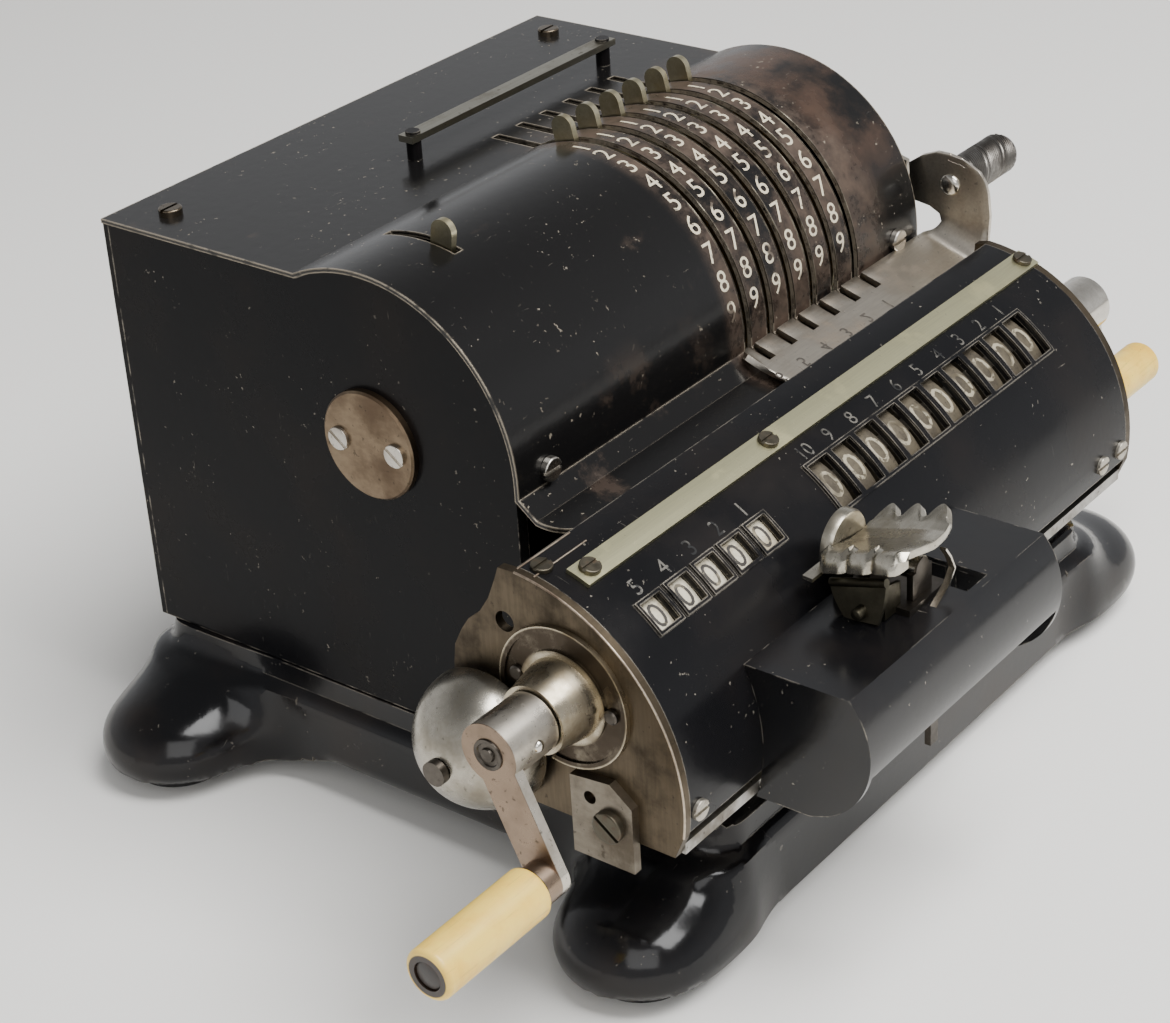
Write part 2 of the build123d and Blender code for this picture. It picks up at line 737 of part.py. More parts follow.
def make_pinwheels():
    """Six pinwheels with their retracted pins, four carry wheels and the counting finger."""
    with BuildPart() as wheels:
        for column in COLUMNS:
            with BuildSketch(side(column - HUB_REACH)):
                Circle(HUB_RADIUS)
            extrude(amount=HUB_REACH + LEVER_THICK / 2 + DISC_GAP)
            with BuildSketch(side(column + LEVER_THICK / 2 + DISC_GAP)):
                Circle(DISC_RADIUS)
            extrude(amount=DISC_THICK)
            spacer = column + LEVER_THICK / 2 + DISC_GAP + DISC_THICK
            with BuildSketch(side(spacer)):
                Circle(SPACER_RADIUS)
            extrude(amount=column + PITCH - HUB_REACH - STACK_GAP - spacer)
            with BuildSketch(side(column + PIN_PLANE - PIN_THICK / 2)):
                for pin in range(PINS):
                    angle = ZERO_ANGLE + 60 + PIN_STEP * pin
                    with Locations(polar(DISC_RADIUS + PIN_PROUD - PIN_LENGTH / 2, angle)):
                        Rectangle(PIN_LENGTH, PIN_WIDTH, rotation=90 + angle)
            extrude(amount=PIN_THICK)
        for column in CARRY_COLUMNS:
            with BuildSketch(side(column + PIN_PLANE - PIN_THICK / 2 - CARRY_THICK)):
                Circle(CARRY_RADIUS)
            extrude(amount=CARRY_THICK)
            pins = column + PIN_PLANE - PIN_THICK / 2
            with BuildSketch(side(pins)):
                for angle in (ZERO_ANGLE + 170, ZERO_ANGLE + 250):
                    with Locations(polar(CARRY_RADIUS, angle)):
                        Rectangle(CARRY_PIN * 4, CARRY_PIN, rotation=90 + angle)
            extrude(amount=PIN_THICK)
            following = min(pins + PITCH - CARRY_THICK, COLUMNS[0] - HUB_REACH)
            with BuildSketch(side(pins)):
                Circle(SPACER_RADIUS)
            extrude(amount=following - STACK_GAP - pins)
        with BuildSketch(side(COUNTER_COLUMN + PIN_PLANE - PIN_THICK / 2)):
            Circle(SPACER_RADIUS)
            add(bar_between(CARRY_PIN, SPACER_RADIUS - CARRY_PIN, FINGER_REACH, ZERO_ANGLE + 210))
        extrude(amount=PIN_THICK)
        with BuildSketch(side(-HALF)):
            Circle(SHAFT_RADIUS + FIXED)
        extrude(amount=BODY_WIDTH, mode=Mode.SUBTRACT)
    finish("pinwheel_discs", wheels)


def make_main_crank():
    """Hub, arm and stud of the driving crank, hanging straight down."""
    with BuildPart() as crank:
        with BuildSketch(side(CRANK_HUB_START)):
            Circle(CRANK_HUB)
            Circle(SHAFT_NOSE + FIXED, mode=Mode.SUBTRACT)
        extrude(amount=CRANK_FACE - CRANK_HUB_START)
        with BuildSketch(side(CRANK_FACE - CRANK_ARM_THICK)):
            add(bar_between(CRANK_ARM_WIDTH, -CRANK_ARM_WIDTH / 2, CRANK_RADIUS + CRANK_ARM_WIDTH / 2, 180))
            Circle(SHAFT_NOSE + FIXED, mode=Mode.SUBTRACT)
        extrude(amount=CRANK_ARM_THICK)
        with BuildSketch(side(CRANK_FACE, 0, -CRANK_RADIUS)):
            Circle(STUD_RADIUS)
        extrude(amount=MAIN_GRIP_END - STUD_CAVITY_DEPTH - CRANK_FACE)
    finish("main_crank", crank)


def make_grip(name, start, end, radius, stud, y, z):
    """Turned grip that spins on its stud, with a hollow in its outer end."""
    low = min(start, end)
    high = max(start, end)
    cavity = low if end < start else high - STUD_CAVITY_DEPTH
    with BuildPart() as grip:
        with BuildSketch(side(low, y, z)):
            Circle(radius)
        extrude(amount=high - low)
        fillet(grip.edges().filter_by(GeomType.CIRCLE), radius / 5)
        with BuildSketch(side(low, y, z)):
            Circle(stud + RUNNING)
        extrude(amount=high - low, mode=Mode.SUBTRACT)
        with BuildSketch(side(cavity, y, z)):
            Circle(stud + 1)
        extrude(amount=STUD_CAVITY_DEPTH, mode=Mode.SUBTRACT)
    finish(name, grip)


# ---- levers ----
def make_setting_lever(number):
    """Ring around a pinwheel's hub with the finger tab that stands out of the slot."""
    column = COLUMNS[LEVERS - number]
    with BuildPart() as lever:
        with BuildSketch(side(column - LEVER_THICK / 2)):
            Circle(RING_OUTER)
            add(bar_between(LEVER_WIDTH, HUB_RADIUS + LEVER_WIDTH, LEVER_TIP, ZERO_ANGLE))
            Circle(HUB_RADIUS + RUNNING, mode=Mode.SUBTRACT)
        extrude(amount=LEVER_THICK)
    finish(f"setting_lever_{number}", lever)


def make_count_lever():
    """Lever that sets the counter's direction."""
    with BuildPart() as lever:
        with BuildSketch(side(COUNTER_COLUMN - LEVER_THICK / 2)):
            Circle(COUNT_RING)
            add(bar_between(LEVER_WIDTH, SHAFT_RADIUS, LEVER_TIP, COUNT_ANGLE))
            Circle(SHAFT_RADIUS + RUNNING, mode=Mode.SUBTRACT)
        extrude(amount=LEVER_THICK)
    finish("count_lever", lever)


def make_comb():
    """Clearing comb: a notched bar in front of the levers on an arm that turns with a ring."""
    bar_left = COLUMNS[0] - PITCH / 2
    gap_edge = -COVER_RADIUS - COMB_GAP
    bar_z = -COMB_BAR_DROP
    front_z = -COMB_BAR_DROP - COMB_BAR_SLOPE
    with BuildPart() as comb:
        with BuildSketch(side(COMB_X)) as arm:
            with BuildLine():
                Polyline(
                    polar(COMB_RING, 30),
                    (KNOB_Y + KNOB_RADIUS, KNOB_Z + KNOB_RADIUS + COMB_CORNER / 2),
                    (-COMB_REACH, KNOB_Z + KNOB_RADIUS),
                    (-COMB_REACH, front_z),
                    (-COMB_BAR_REAR, bar_z),
                    (gap_edge, COMB_GAP_LOW),
                    (gap_edge, COMB_GAP_HIGH),
                    polar(COMB_RING, 80),
                    close=True,
                )
            make_face()
            fillet(arm.vertices().group_by(Axis.X)[0].group_by(Axis.Y)[-1], COMB_CORNER)
            Circle(COMB_RING)
            Circle(BUSH_RADIUS + RUNNING, mode=Mode.SUBTRACT)
            with Locations((KNOB_Y, KNOB_Z)):
                Circle(RIVET_RADIUS + FIXED, mode=Mode.SUBTRACT)
        extrude(amount=COMB_SHEET)
        with BuildSketch(side(bar_left)):
            with BuildLine():
                Polyline(
                    (-COMB_BAR_REAR, bar_z),
                    (-COMB_BAR_REAR, bar_z + COMB_SHEET),
                    (-COMB_REACH + COMB_SHEET / 2, front_z + COMB_SHEET),
                    (-COMB_REACH, front_z + COMB_SHEET / 2),
                    (-COMB_REACH, front_z - COMB_SHEET),
                    (-COMB_REACH + COMB_SHEET, front_z - COMB_SHEET),
                    (-COMB_REACH + COMB_SHEET, front_z),
                    close=True,
                )
            make_face()
        extrude(amount=COMB_X + COMB_SHEET - bar_left)
        for column in COLUMNS:
            with BuildSketch(side(column - SLOT_WIDTH / 2)):
                add(ring_sector(COVER_RADIUS, COMB_NOTCH, 90, 110))
            extrude(amount=SLOT_WIDTH, mode=Mode.SUBTRACT)
        with BuildSketch(side(COLUMNS[-1] + PITCH)):
            add(ring_sector(COVER_RADIUS, COMB_BAR_SHORT, 88, 110))
        extrude(amount=COMB_X - COLUMNS[-1] - PITCH, mode=Mode.SUBTRACT)
    finish("clearing_comb", comb)


def make_knob():
    """Ringed knob with its rivet through the comb's arm."""
    start = COMB_X + COMB_SHEET
    step = (KNOB_LENGTH - 2 * KNOB_RADIUS / 3) / KNOB_RINGS
    with BuildPart() as knob:
        with BuildSketch(side(start, KNOB_Y, KNOB_Z)):
            Circle(KNOB_RADIUS)
        extrude(amount=KNOB_LENGTH)
        fillet(knob.faces().sort_by(Axis.X)[-1].edges(), KNOB_RADIUS / 2)
        for ring in range(KNOB_RINGS):
            with BuildSketch(side(start + 1 + step * ring, KNOB_Y, KNOB_Z)):
                Circle(KNOB_RADIUS + 1)
                Circle(KNOB_RADIUS - 0.5, mode=Mode.SUBTRACT)
            extrude(amount=step / 3, mode=Mode.SUBTRACT)
        with BuildSketch(side(COMB_X, KNOB_Y, KNOB_Z)):
            Circle(RIVET_RADIUS)
        extrude(amount=COMB_SHEET)
        with BuildSketch(side(COMB_X - SCREW_RISE / 2, KNOB_Y, KNOB_Z)):
            Circle(SCREW_HEAD)
        extrude(amount=SCREW_RISE / 2)
    finish("comb_knob", knob)


def make_transfer_gears():
    """Gears between the drum and the number wheels, free on their fixed shaft."""
    with BuildPart() as gears:
        for column in RESULT_COLUMNS + COUNTER_COLUMNS[:1]:
            with BuildSketch(side(column + PIN_PLANE - PIN_THICK / 2, TRANSFER_Y, TRANSFER_Z)):
                add(toothed(TRANSFER_TEETH, TRANSFER_TIP, TRANSFER_ROOT))
                Circle(TRANSFER_SHAFT + RUNNING, mode=Mode.SUBTRACT)
            extrude(amount=PIN_THICK)
    finish("transfer_gears", gears)


# ---- carriage ----
def arch_side(x):
    """Side plane whose origin is the centre of the carriage's arch."""
    return side(x, COVER_Y, COVER_Z)


def windows():
    """Left edge, width and angles of every number window."""
    places = [(x - RESULT_WINDOW / 2, RESULT_WINDOW, RESULT_OPEN, RESULT_CLOSE) for x in RESULT_COLUMNS]
    for x in COUNTER_COLUMNS:
        places.append((x - COUNTER_WINDOW / 2, COUNTER_WINDOW, COUNTER_OPEN, COUNTER_CLOSE))
    return places


def edge_screw_seats():
    """Small screws that hold the arched cover to its end plates."""
    outer = ARCH_RADIUS
    left = CARRIAGE_LEFT + END_PLATE + 2.8
    right = CARRIAGE_RIGHT - END_PLATE - 2.8
    seats = [arch_plane(left, 9.0, outer), arch_plane(left, 92.0, outer)]
    return seats + [arch_plane(right, 92.0, outer), arch_plane(right - 4 * SMALL_HEAD, 92.0, outer)]


def strip_screw_seats(radius):
    """Screws along the nickel strip."""
    return [arch_plane(x, STRIP_SCREW_ANGLE, radius) for x in STRIP_SCREW_X]


def make_carriage_cover():
    """Arched sheet of the carriage with raised rims around its windows."""
    start = CARRIAGE_LEFT + END_PLATE
    rim = degrees(asin(RIM_WIDTH / ARCH_RADIUS))
    inner = ARCH_RADIUS - ARCH_SHEET
    with BuildPart() as cover:
        with BuildSketch(arch_side(start)):
            add(ring_sector(inner, ARCH_RADIUS, ARCH_START, ARCH_END))
        extrude(amount=CARRIAGE_RIGHT - END_PLATE - start)
        for left, width, opening, closing in windows():
            with BuildSketch(arch_side(left - RIM_WIDTH)):
                add(ring_sector(inner, ARCH_RADIUS + RIM_RISE, opening - rim, closing + rim))
            extrude(amount=width + 2 * RIM_WIDTH)
        for left, width, opening, closing in windows():
            with BuildSketch(arch_side(left)):
                add(ring_sector(inner - 1, ARCH_RADIUS + 1, opening, closing))
            extrude(amount=width, mode=Mode.SUBTRACT)
        for seat in edge_screw_seats() + strip_screw_seats(ARCH_RADIUS):
            with BuildSketch(seat):
                Circle(SMALL_SHANK + FIXED)
            extrude(amount=-2 * ARCH_SHEET, mode=Mode.SUBTRACT)
    finish("carriage_cover", cover)


def rear_edge(left):
    """Rear edge of an end plate from its foot up, clear of the apron and, on the right, of the comb."""
    if left:
        steps = ((13.2, -22.2), (12.6, -17.9), (10.6, -13.9), (8.6, -10.9), (5.6, -8.3), (3.2, -4.6), (1.2, 0.3))
        corner = (0.3, 2.9)
    else:
        steps = ((13.5, -22.8), (12.4, -17.9), (6.8, -13.0), (0.9, -11.6))
        corner = (-0.1, 2.4)
    return [(COVER_Y + y, z) for y, z in steps + (corner,)]


def end_outline(left):
    """Side view of one of the carriage's end plates."""
    start = polar(ARCH_RADIUS, ARCH_START)
    crown = polar(ARCH_RADIUS, 50)
    end = polar(ARCH_RADIUS, ARCH_END + 1)
    with BuildSketch() as outline:
        with BuildLine():
            first = (COVER_Y + start[0], COVER_Z + start[1])
            last = (COVER_Y + end[0], COVER_Z + end[1])
            ThreePointArc(first, (COVER_Y + crown[0], COVER_Z + crown[1]), last)
            Polyline(
                last,
                (BED_FRONT + 1, BED_TOP - BED_THICK),
                (BED_REAR, BED_TOP - BED_THICK),
                (COVER_Y + PLATE_FOOT, PLATE_FOOT_Z),
                *rear_edge(left),
                first,
            )
        make_face()
    return outline.sketch


def make_end_plate(name, start, left):
    """End plate of the carriage with the bearing hole for its register shaft."""
    with BuildPart() as plate:
        with BuildSketch(side(start)):
            add(end_outline(left))
            with Locations((REG_Y, REG_Z)):
                Circle(REG_SHAFT + RUNNING, mode=Mode.SUBTRACT)
            with Locations((COVER_Y + SIGHT_HOLE, SIGHT_HOLE_Z)):
                Circle(SMALL_HEAD, mode=Mode.SUBTRACT)
        extrude(amount=END_PLATE)
    finish(name, plate)


def make_collars():
    """Turned bearing collars on both end plates."""
    with BuildPart() as collars:
        for plate, toward, end, radius in (
            (CARRIAGE_LEFT, -1, LEFT_BOSS_END, COLLAR_RADIUS),
            (CARRIAGE_RIGHT, 1, RIGHT_BOSS_END, RIGHT_COLLAR),
        ):
            with BuildSketch(side(plate, REG_Y, REG_Z)):
                Circle(radius)
            extrude(amount=toward * COLLAR_THICK)
            with BuildSketch(side(plate + toward * COLLAR_THICK, REG_Y, REG_Z)):
                Circle(radius - COLLAR_RIM)
                Circle(BOSS_ROOT + COLLAR_RIM, mode=Mode.SUBTRACT)
            extrude(amount=-toward * COLLAR_DISH, mode=Mode.SUBTRACT)
            with BuildSketch(side(plate, REG_Y, REG_Z)):
                Circle(BOSS_ROOT)
            with BuildSketch(side(end, REG_Y, REG_Z)):
                Circle(BOSS_RADIUS)
            loft(ruled=True)
            with BuildSketch(side(plate, REG_Y, REG_Z)):
                Circle(REG_SHAFT + RUNNING)
            extrude(amount=end - plate, mode=Mode.SUBTRACT)
    finish("register_collars", collars)


def make_strip():
    """Bright strip along the top of the carriage."""
    with BuildPart() as strip:
        with BuildSketch(arch_side(STRIP_LEFT)):
            add(ring_sector(ARCH_RADIUS, ARCH_RADIUS + STRIP_THICK, STRIP_OPEN, STRIP_CLOSE))
        extrude(amount=STRIP_RIGHT - STRIP_LEFT)
        for seat in strip_screw_seats(ARCH_RADIUS - 1):
            with BuildSketch(seat):
                Circle(SMALL_SHANK + FIXED)
            extrude(amount=3, mode=Mode.SUBTRACT)
    finish("cover_strip", strip)


def make_carriage_screws():
    """Small screws of the strip and the cover, and the large screw of the stop plate."""
    stop_seat = Plane(
        origin=(CARRIAGE_LEFT - END_PLATE, DRUM_Y + STOP_SCREW_Y, DRUM_Z + STOP_SCREW_Z),
        x_dir=(0, 0.8, 0.6),
        z_dir=(-1, 0, 0),
    )
    with BuildPart() as screws:
        with Locations(*strip_screw_seats(ARCH_RADIUS + STRIP_THICK + 2 * FIXED)):
            add(screw(SMALL_HEAD, SMALL_RISE, SMALL_SHANK, STRIP_THICK + ARCH_SHEET))
        with Locations(*edge_screw_seats()):
            add(screw(SMALL_HEAD, SMALL_RISE, SMALL_SHANK, ARCH_SHEET))
        with Locations(stop_seat):
            add(screw(STOP_HEAD, SCREW_RISE, SCREW_SHANK, END_PLATE))
    finish("carriage_screws", screws)


def make_bed():
    """Bottom plate of the carriage with its two slide shoes and the middle bearing plate."""
    left = CARRIAGE_LEFT + END_PLATE
    length = CARRIAGE_RIGHT - END_PLATE - left
    shoe_width = GUIDE_WIDTH + 2 * (SHOE_WALL + SLIDE_GAP)
    bed_low = BED_TOP - BED_THICK
    shoe_drop = bed_low - GUIDE_TOP + GUIDE_HEIGHT
    with BuildPart() as bed:
        with BuildSketch(level(bed_low, left + length / 2, (BED_FRONT + BED_REAR) / 2)):
            Rectangle(length, BED_REAR - BED_FRONT)
        extrude(amount=BED_THICK)
        for x in SHOE_X:
            with BuildSketch(level(bed_low, x, GUIDE_Y)):
                Rectangle(SHOE_LENGTH, shoe_width)
            extrude(amount=-shoe_drop)
            with BuildSketch(level(GUIDE_TOP + SLIDE_GAP / 2, x, GUIDE_Y)):
                Rectangle(2 * SHOE_LENGTH, GUIDE_WIDTH + 2 * SLIDE_GAP)
            extrude(amount=-2 * GUIDE_HEIGHT, mode=Mode.SUBTRACT)
        with BuildSketch(side(MID_PLATE_X)):
            with Locations((REG_Y, (REG_Z + BED_TOP) / 2)):
                Rectangle(3 * BOSS_RADIUS, REG_Z - BED_TOP)
            with Locations((REG_Y, REG_Z)):
                Circle(1.5 * BOSS_RADIUS)
                Circle(REG_SHAFT + RUNNING, mode=Mode.SUBTRACT)
        extrude(amount=END_PLATE)
    finish("carriage_bed", bed)


def make_stop_plate():
    """Bent stop at the left end of the carriage."""
    with BuildPart() as plate:
        with BuildSketch(side(CARRIAGE_LEFT - END_PLATE)):
            with BuildLine():
                Polyline(
                    (STOP_LEFT, STOP_BOTTOM),
                    (STOP_RIGHT, STOP_BOTTOM),
                    (STOP_RIGHT, STOP_TOP),
                    (STOP_LEFT + 5, STOP_TOP + 1),
                    (STOP_LEFT, STOP_TOP - 3),
                    close=True,
                )
            make_face()
            with Locations((STOP_SCREW_Y, STOP_SCREW_Z)):
                Circle(SCREW_SHANK + FIXED, mode=Mode.SUBTRACT)
            with Locations((STOP_SCREW_Y + 4.6, STOP_SCREW_Z + 4.6)):
                Circle(SCREW_SHANK, mode=Mode.SUBTRACT)
        extrude(amount=END_PLATE)
    finish("stop_plate", plate)


def make_bell():
    """Bell cup, open towards the carriage."""
    centre = (BELL_MOUTH, DRUM_Y + BELL_Y, DRUM_Z + BELL_Z)
    with BuildPart() as bell:
        with Locations(centre):
            Sphere(BELL_RADIUS)
            Sphere(BELL_RADIUS - BELL_SHEET, mode=Mode.SUBTRACT)
        with Locations((BELL_MOUTH + BELL_RADIUS, centre[1], centre[2])):
            Box(2 * BELL_RADIUS, 3 * BELL_RADIUS, 3 * BELL_RADIUS, mode=Mode.SUBTRACT)
        with BuildSketch(side(BELL_MOUTH - 2 * BELL_RADIUS, BELL_Y, BELL_Z)):
            Circle(SCREW_SHANK + FIXED)
        extrude(amount=2 * BELL_RADIUS, mode=Mode.SUBTRACT)
    finish("bell", bell)


def make_bell_post():
    """Post of the bell with the screw that holds it."""
    crown = BELL_MOUTH - sqrt((BELL_RADIUS - BELL_SHEET) ** 2 - BELL_POST**2)
    apex = BELL_MOUTH - BELL_RADIUS
    with BuildPart() as post:
        with BuildSketch(side(crown + FIXED, BELL_Y, BELL_Z)):
            Circle(BELL_POST)
        extrude(amount=CARRIAGE_LEFT - crown - FIXED)
        with BuildSketch(side(apex - FIXED, BELL_Y, BELL_Z)):
            Circle(SCREW_SHANK)
        extrude(amount=BELL_SHEET + BELL_POST)
        with BuildSketch(side(apex - SCREW_RISE - FIXED, BELL_Y, BELL_Z)):
            Circle(BELL_SCREW)
        extrude(amount=SCREW_RISE)
    finish("bell_post", post)


def housing_outline():
    """Side view of the shift housing: flat top, bulging front, flat bottom."""
    with BuildSketch() as outline:
        with BuildLine():
            Polyline(
                (BED_FRONT + 1, HOUSING_BOTTOM),
                (BED_FRONT + 10, HOUSING_TOP),
                (HOUSING_EDGE, HOUSING_TOP),
            )
            ThreePointArc(
                (HOUSING_EDGE, HOUSING_TOP),
                (HOUSING_FRONT, HOUSING_TOP - 12.5),
                (HOUSING_EDGE + 4.8, HOUSING_BOTTOM + 1.5),
            )
            Polyline(
                (HOUSING_EDGE + 4.8, HOUSING_BOTTOM + 1.5),
                (HOUSING_EDGE + 9, HOUSING_BOTTOM),
                (BED_FRONT + 1, HOUSING_BOTTOM),
            )
        make_face()
        with Locations((COVER_Y, COVER_Z)):
            Circle(ARCH_RADIUS + FIXED, mode=Mode.SUBTRACT)
    return outline.sketch


def make_housing():
    """Black housing in front of the carriage: two cheeks and one bent sheet."""
    with BuildPart() as housing:
        with BuildSketch(side(HOUSING_LEFT)):
            add(housing_outline())
        extrude(amount=HOUSING_RIGHT - HOUSING_LEFT)
        with BuildSketch(side(HOUSING_LEFT + HOUSING_SHEET)):
            offset(housing_outline(), amount=-HOUSING_SHEET, kind=Kind.INTERSECTION)
            with Locations(((BED_FRONT + HOUSING_FRONT) / 2, HOUSING_BOTTOM)):
                Rectangle(3 * ARCH_RADIUS, 2 * (HOUSING_LIP - HOUSING_BOTTOM))
            with Locations((BED_FRONT + 2, (HOUSING_TOP + HOUSING_BOTTOM) / 2 - HOUSING_SHEET)):
                Rectangle(10, HOUSING_TOP - HOUSING_BOTTOM)
        extrude(amount=HOUSING_RIGHT - HOUSING_LEFT - 2 * HOUSING_SHEET, mode=Mode.SUBTRACT)
        with BuildSketch(level(HOUSING_TOP, (HATCH_LEFT + HATCH_RIGHT) / 2, (HATCH_FRONT + HATCH_REAR) / 2)):
            Rectangle(HATCH_RIGHT - HATCH_LEFT, HATCH_REAR - HATCH_FRONT)
        extrude(amount=-2 * HOUSING_SHEET, mode=Mode.SUBTRACT)
    finish("shift_housing", housing)


def ear_stations():
    """Y of the two ears that carry the rocker's pin."""
    reach = ROCKER_DEPTH / 2 - EAR_SHEET
    return (ROCKER_Y - reach, ROCKER_Y + reach - EAR_SHEET)


def make_lever_bracket():
    """Bracket on the housing with the pins of the rocker and of the release tab."""
    rise = ROCKER_Z - HOUSING_TOP
    with BuildPart() as bracket:
        with BuildSketch(level(HOUSING_TOP, ROCKER_X, ROCKER_Y)):
            Rectangle(2 * EAR_WIDTH, ROCKER_DEPTH)
        extrude(amount=EAR_SHEET)
        for y in ear_stations():
            with BuildSketch(front_plane(ROCKER_X, y + EAR_SHEET, HOUSING_TOP)):
                with Locations((0, rise / 2)):
                    Rectangle(EAR_WIDTH, rise)
                with Locations((0, rise)):
                    Circle(EAR_WIDTH / 3)
            extrude(amount=EAR_SHEET)
        pin_rear = ear_stations()[1] + EAR_SHEET
        with BuildSketch(front_plane(ROCKER_X, pin_rear, ROCKER_Z)):
            Circle(ROCKER_BORE - RUNNING)
        extrude(amount=pin_rear - ear_stations()[0])
        ear_reach = TAB_WIDTH / 2 + EAR_SHEET + 4 * RUNNING
        for start in (ROCKER_X - ear_reach, ROCKER_X + ear_reach - EAR_SHEET):
            with BuildSketch(side(start, TAB_Y, TAB_Z)):
                Circle(TAB_HUB)
                with Locations((-TAB_HUB / 2, (HOUSING_TOP - TAB_Z) / 2)):
                    Rectangle(3 * TAB_HUB, TAB_Z - HOUSING_TOP)
            extrude(amount=EAR_SHEET)
        with BuildSketch(side(ROCKER_X - ear_reach, TAB_Y, TAB_Z)):
            Circle(TAB_PIN)
        extrude(amount=2 * ear_reach)
        with BuildSketch(level(HOUSING_TOP, ROCKER_X, (ROCKER_Y + TAB_Y) / 2)):
            Rectangle(2 * ear_reach, ROCKER_Y - TAB_Y)
        extrude(amount=EAR_SHEET)
        with BuildSketch(arch_side(ROCKER_X - HALF)):
            Circle(ARCH_RADIUS + FIXED)
        extrude(amount=BODY_WIDTH, mode=Mode.SUBTRACT)
        latch_top = HOUSING_TOP - HOUSING_SHEET
        with BuildSketch(level(HOUSING_BOTTOM - 3, ROCKER_X, LATCH_Y)):
            Rectangle(2 * EAR_SHEET, EAR_SHEET)
        extrude(amount=latch_top - HOUSING_BOTTOM + 3)
    finish("lever_bracket", bracket)


def make_shift_lever():
    """Rocking shift lever: a plate with teeth at one end and a notched lip at the other."""
    low = ROCKER_RISE
    tooth = ROCKER_DEPTH / 3
    with BuildPart() as lever:
        with BuildSketch(level(ROCKER_Z + low, ROCKER_X, ROCKER_Y)):
            with BuildLine():
                points = [(-ROCKER_HALF, -ROCKER_DEPTH / 2), (ROCKER_HALF - 4, -ROCKER_DEPTH / 2)]
                for k in range(3):
                    start = -ROCKER_DEPTH / 2 + tooth * k
                    points.append((ROCKER_HALF - 3, start + 0.1))
                    points.append((ROCKER_HALF, start + tooth / 2))
                points.append((ROCKER_HALF - 3, ROCKER_DEPTH / 2))
                points.append((-ROCKER_HALF, ROCKER_DEPTH / 2))
                Polyline(*points, close=True)
            make_face()
        extrude(amount=ROCKER_SHEET)
        with BuildSketch(level(ROCKER_Z + low + ROCKER_SHEET, ROCKER_X - ROCKER_HALF, ROCKER_Y)):
            with Locations((ROCKER_SHEET / 2, 0)):
                Rectangle(ROCKER_SHEET, ROCKER_DEPTH)
            with Locations(*[(0, tooth * (k - 1)) for k in range(3)]):
                Rectangle(ROCKER_SHEET, tooth / 3, mode=Mode.SUBTRACT)
        extrude(amount=-2 * ROCKER_SHEET)
        sleeve_start = ear_stations()[1] - 4 * RUNNING
        sleeve = sleeve_start - ear_stations()[0] - EAR_SHEET - 4 * RUNNING
        with BuildSketch(front_plane(ROCKER_X, sleeve_start, ROCKER_Z)):
            Circle(2 * ROCKER_BORE)
            with Locations((0, (low + 0.5) / 2)):
                Rectangle(2 * ROCKER_BORE, low + 0.5)
            Circle(ROCKER_BORE, mode=Mode.SUBTRACT)
        extrude(amount=sleeve)
    finish("shift_lever", lever)


def make_release_tab():
    """Small upright thumb tab that frees the carriage."""
    with BuildPart() as tab:
        with BuildSketch(side(ROCKER_X - TAB_WIDTH / 2, TAB_Y, TAB_Z)):
            Circle(TAB_HUB)
            add(bar_between(ROCKER_SHEET, 0, TAB_HEIGHT, -TAB_TILT))
            Circle(TAB_PIN + RUNNING, mode=Mode.SUBTRACT)
        extrude(amount=TAB_WIDTH)
        with BuildSketch(front_plane(ROCKER_X, TAB_Y, TAB_Z)):
            with Locations((0, TAB_HEIGHT / 2 - TAB_HUB)):
                RectangleRounded(TAB_WIDTH, TAB_HEIGHT + 2 * TAB_HUB, TAB_WIDTH * 0.45)
            with Locations((0, 0)):
                Rectangle(TAB_WIDTH, TAB_HEIGHT)
        extrude(amount=TAB_HEIGHT, both=True, mode=Mode.INTERSECT)
    finish("release_tab", tab)


# ---- register cranks and wheels ----
def make_register_crank(name, boss_end, hub_radius, hub_end, stud_boss_end, grip_end, shaft_end, angle):
    """Shaft, hub, arm and stud of a clearing crank of the registers."""
    toward = 1 if hub_end > 0 else -1
    stud = polar(ARM_RADIUS, 180 - angle)
    with BuildPart() as crank:
        with BuildSketch(side(shaft_end, REG_Y, REG_Z)):
            Circle(REG_SHAFT)
        extrude(amount=hub_end - shaft_end)
        hub_start = boss_end + toward * GRIP_GAP
        with BuildSketch(side(hub_start, REG_Y, REG_Z)):
            Circle(hub_radius)
        extrude(amount=hub_end - hub_start)
        arm_start = hub_end - toward * ARM_THICK
        with BuildSketch(side(arm_start, REG_Y, REG_Z)):
            add(bar_between(ARM_WIDTH, 0, ARM_RADIUS + ARM_WIDTH / 2, 180 - angle))
        extrude(amount=toward * ARM_THICK)
        with BuildSketch(side(arm_start, REG_Y + stud[0], REG_Z + stud[1])):
            Circle(ARM_WIDTH / 2)
        extrude(amount=stud_boss_end - arm_start)
        with BuildSketch(side(stud_boss_end, REG_Y + stud[0], REG_Z + stud[1])):
            Circle(SMALL_STUD)
        extrude(amount=grip_end - toward * STUD_CAVITY_DEPTH - stud_boss_end)
    finish(name, crank)
    return REG_Y + stud[0], REG_Z + stud[1]


def make_number_wheel(name, column):
    """Number wheel: a smooth drum for the digits beside its ten-toothed gear."""
    with BuildPart() as wheel:
        with BuildSketch(side(column - WHEEL_WIDTH / 2, REG_Y, REG_Z)):
            Circle(WHEEL_RADIUS)
            Circle(REG_SHAFT + RUNNING, mode=Mode.SUBTRACT)
        extrude(amount=WHEEL_WIDTH)
        with BuildSketch(side(column + WHEEL_WIDTH / 2, REG_Y, REG_Z)):
            add(toothed(GEAR_TEETH, GEAR_TIP, GEAR_ROOT))
            Circle(REG_SHAFT + RUNNING, mode=Mode.SUBTRACT)
        extrude(amount=GEAR_THICK)
    finish(name, wheel)


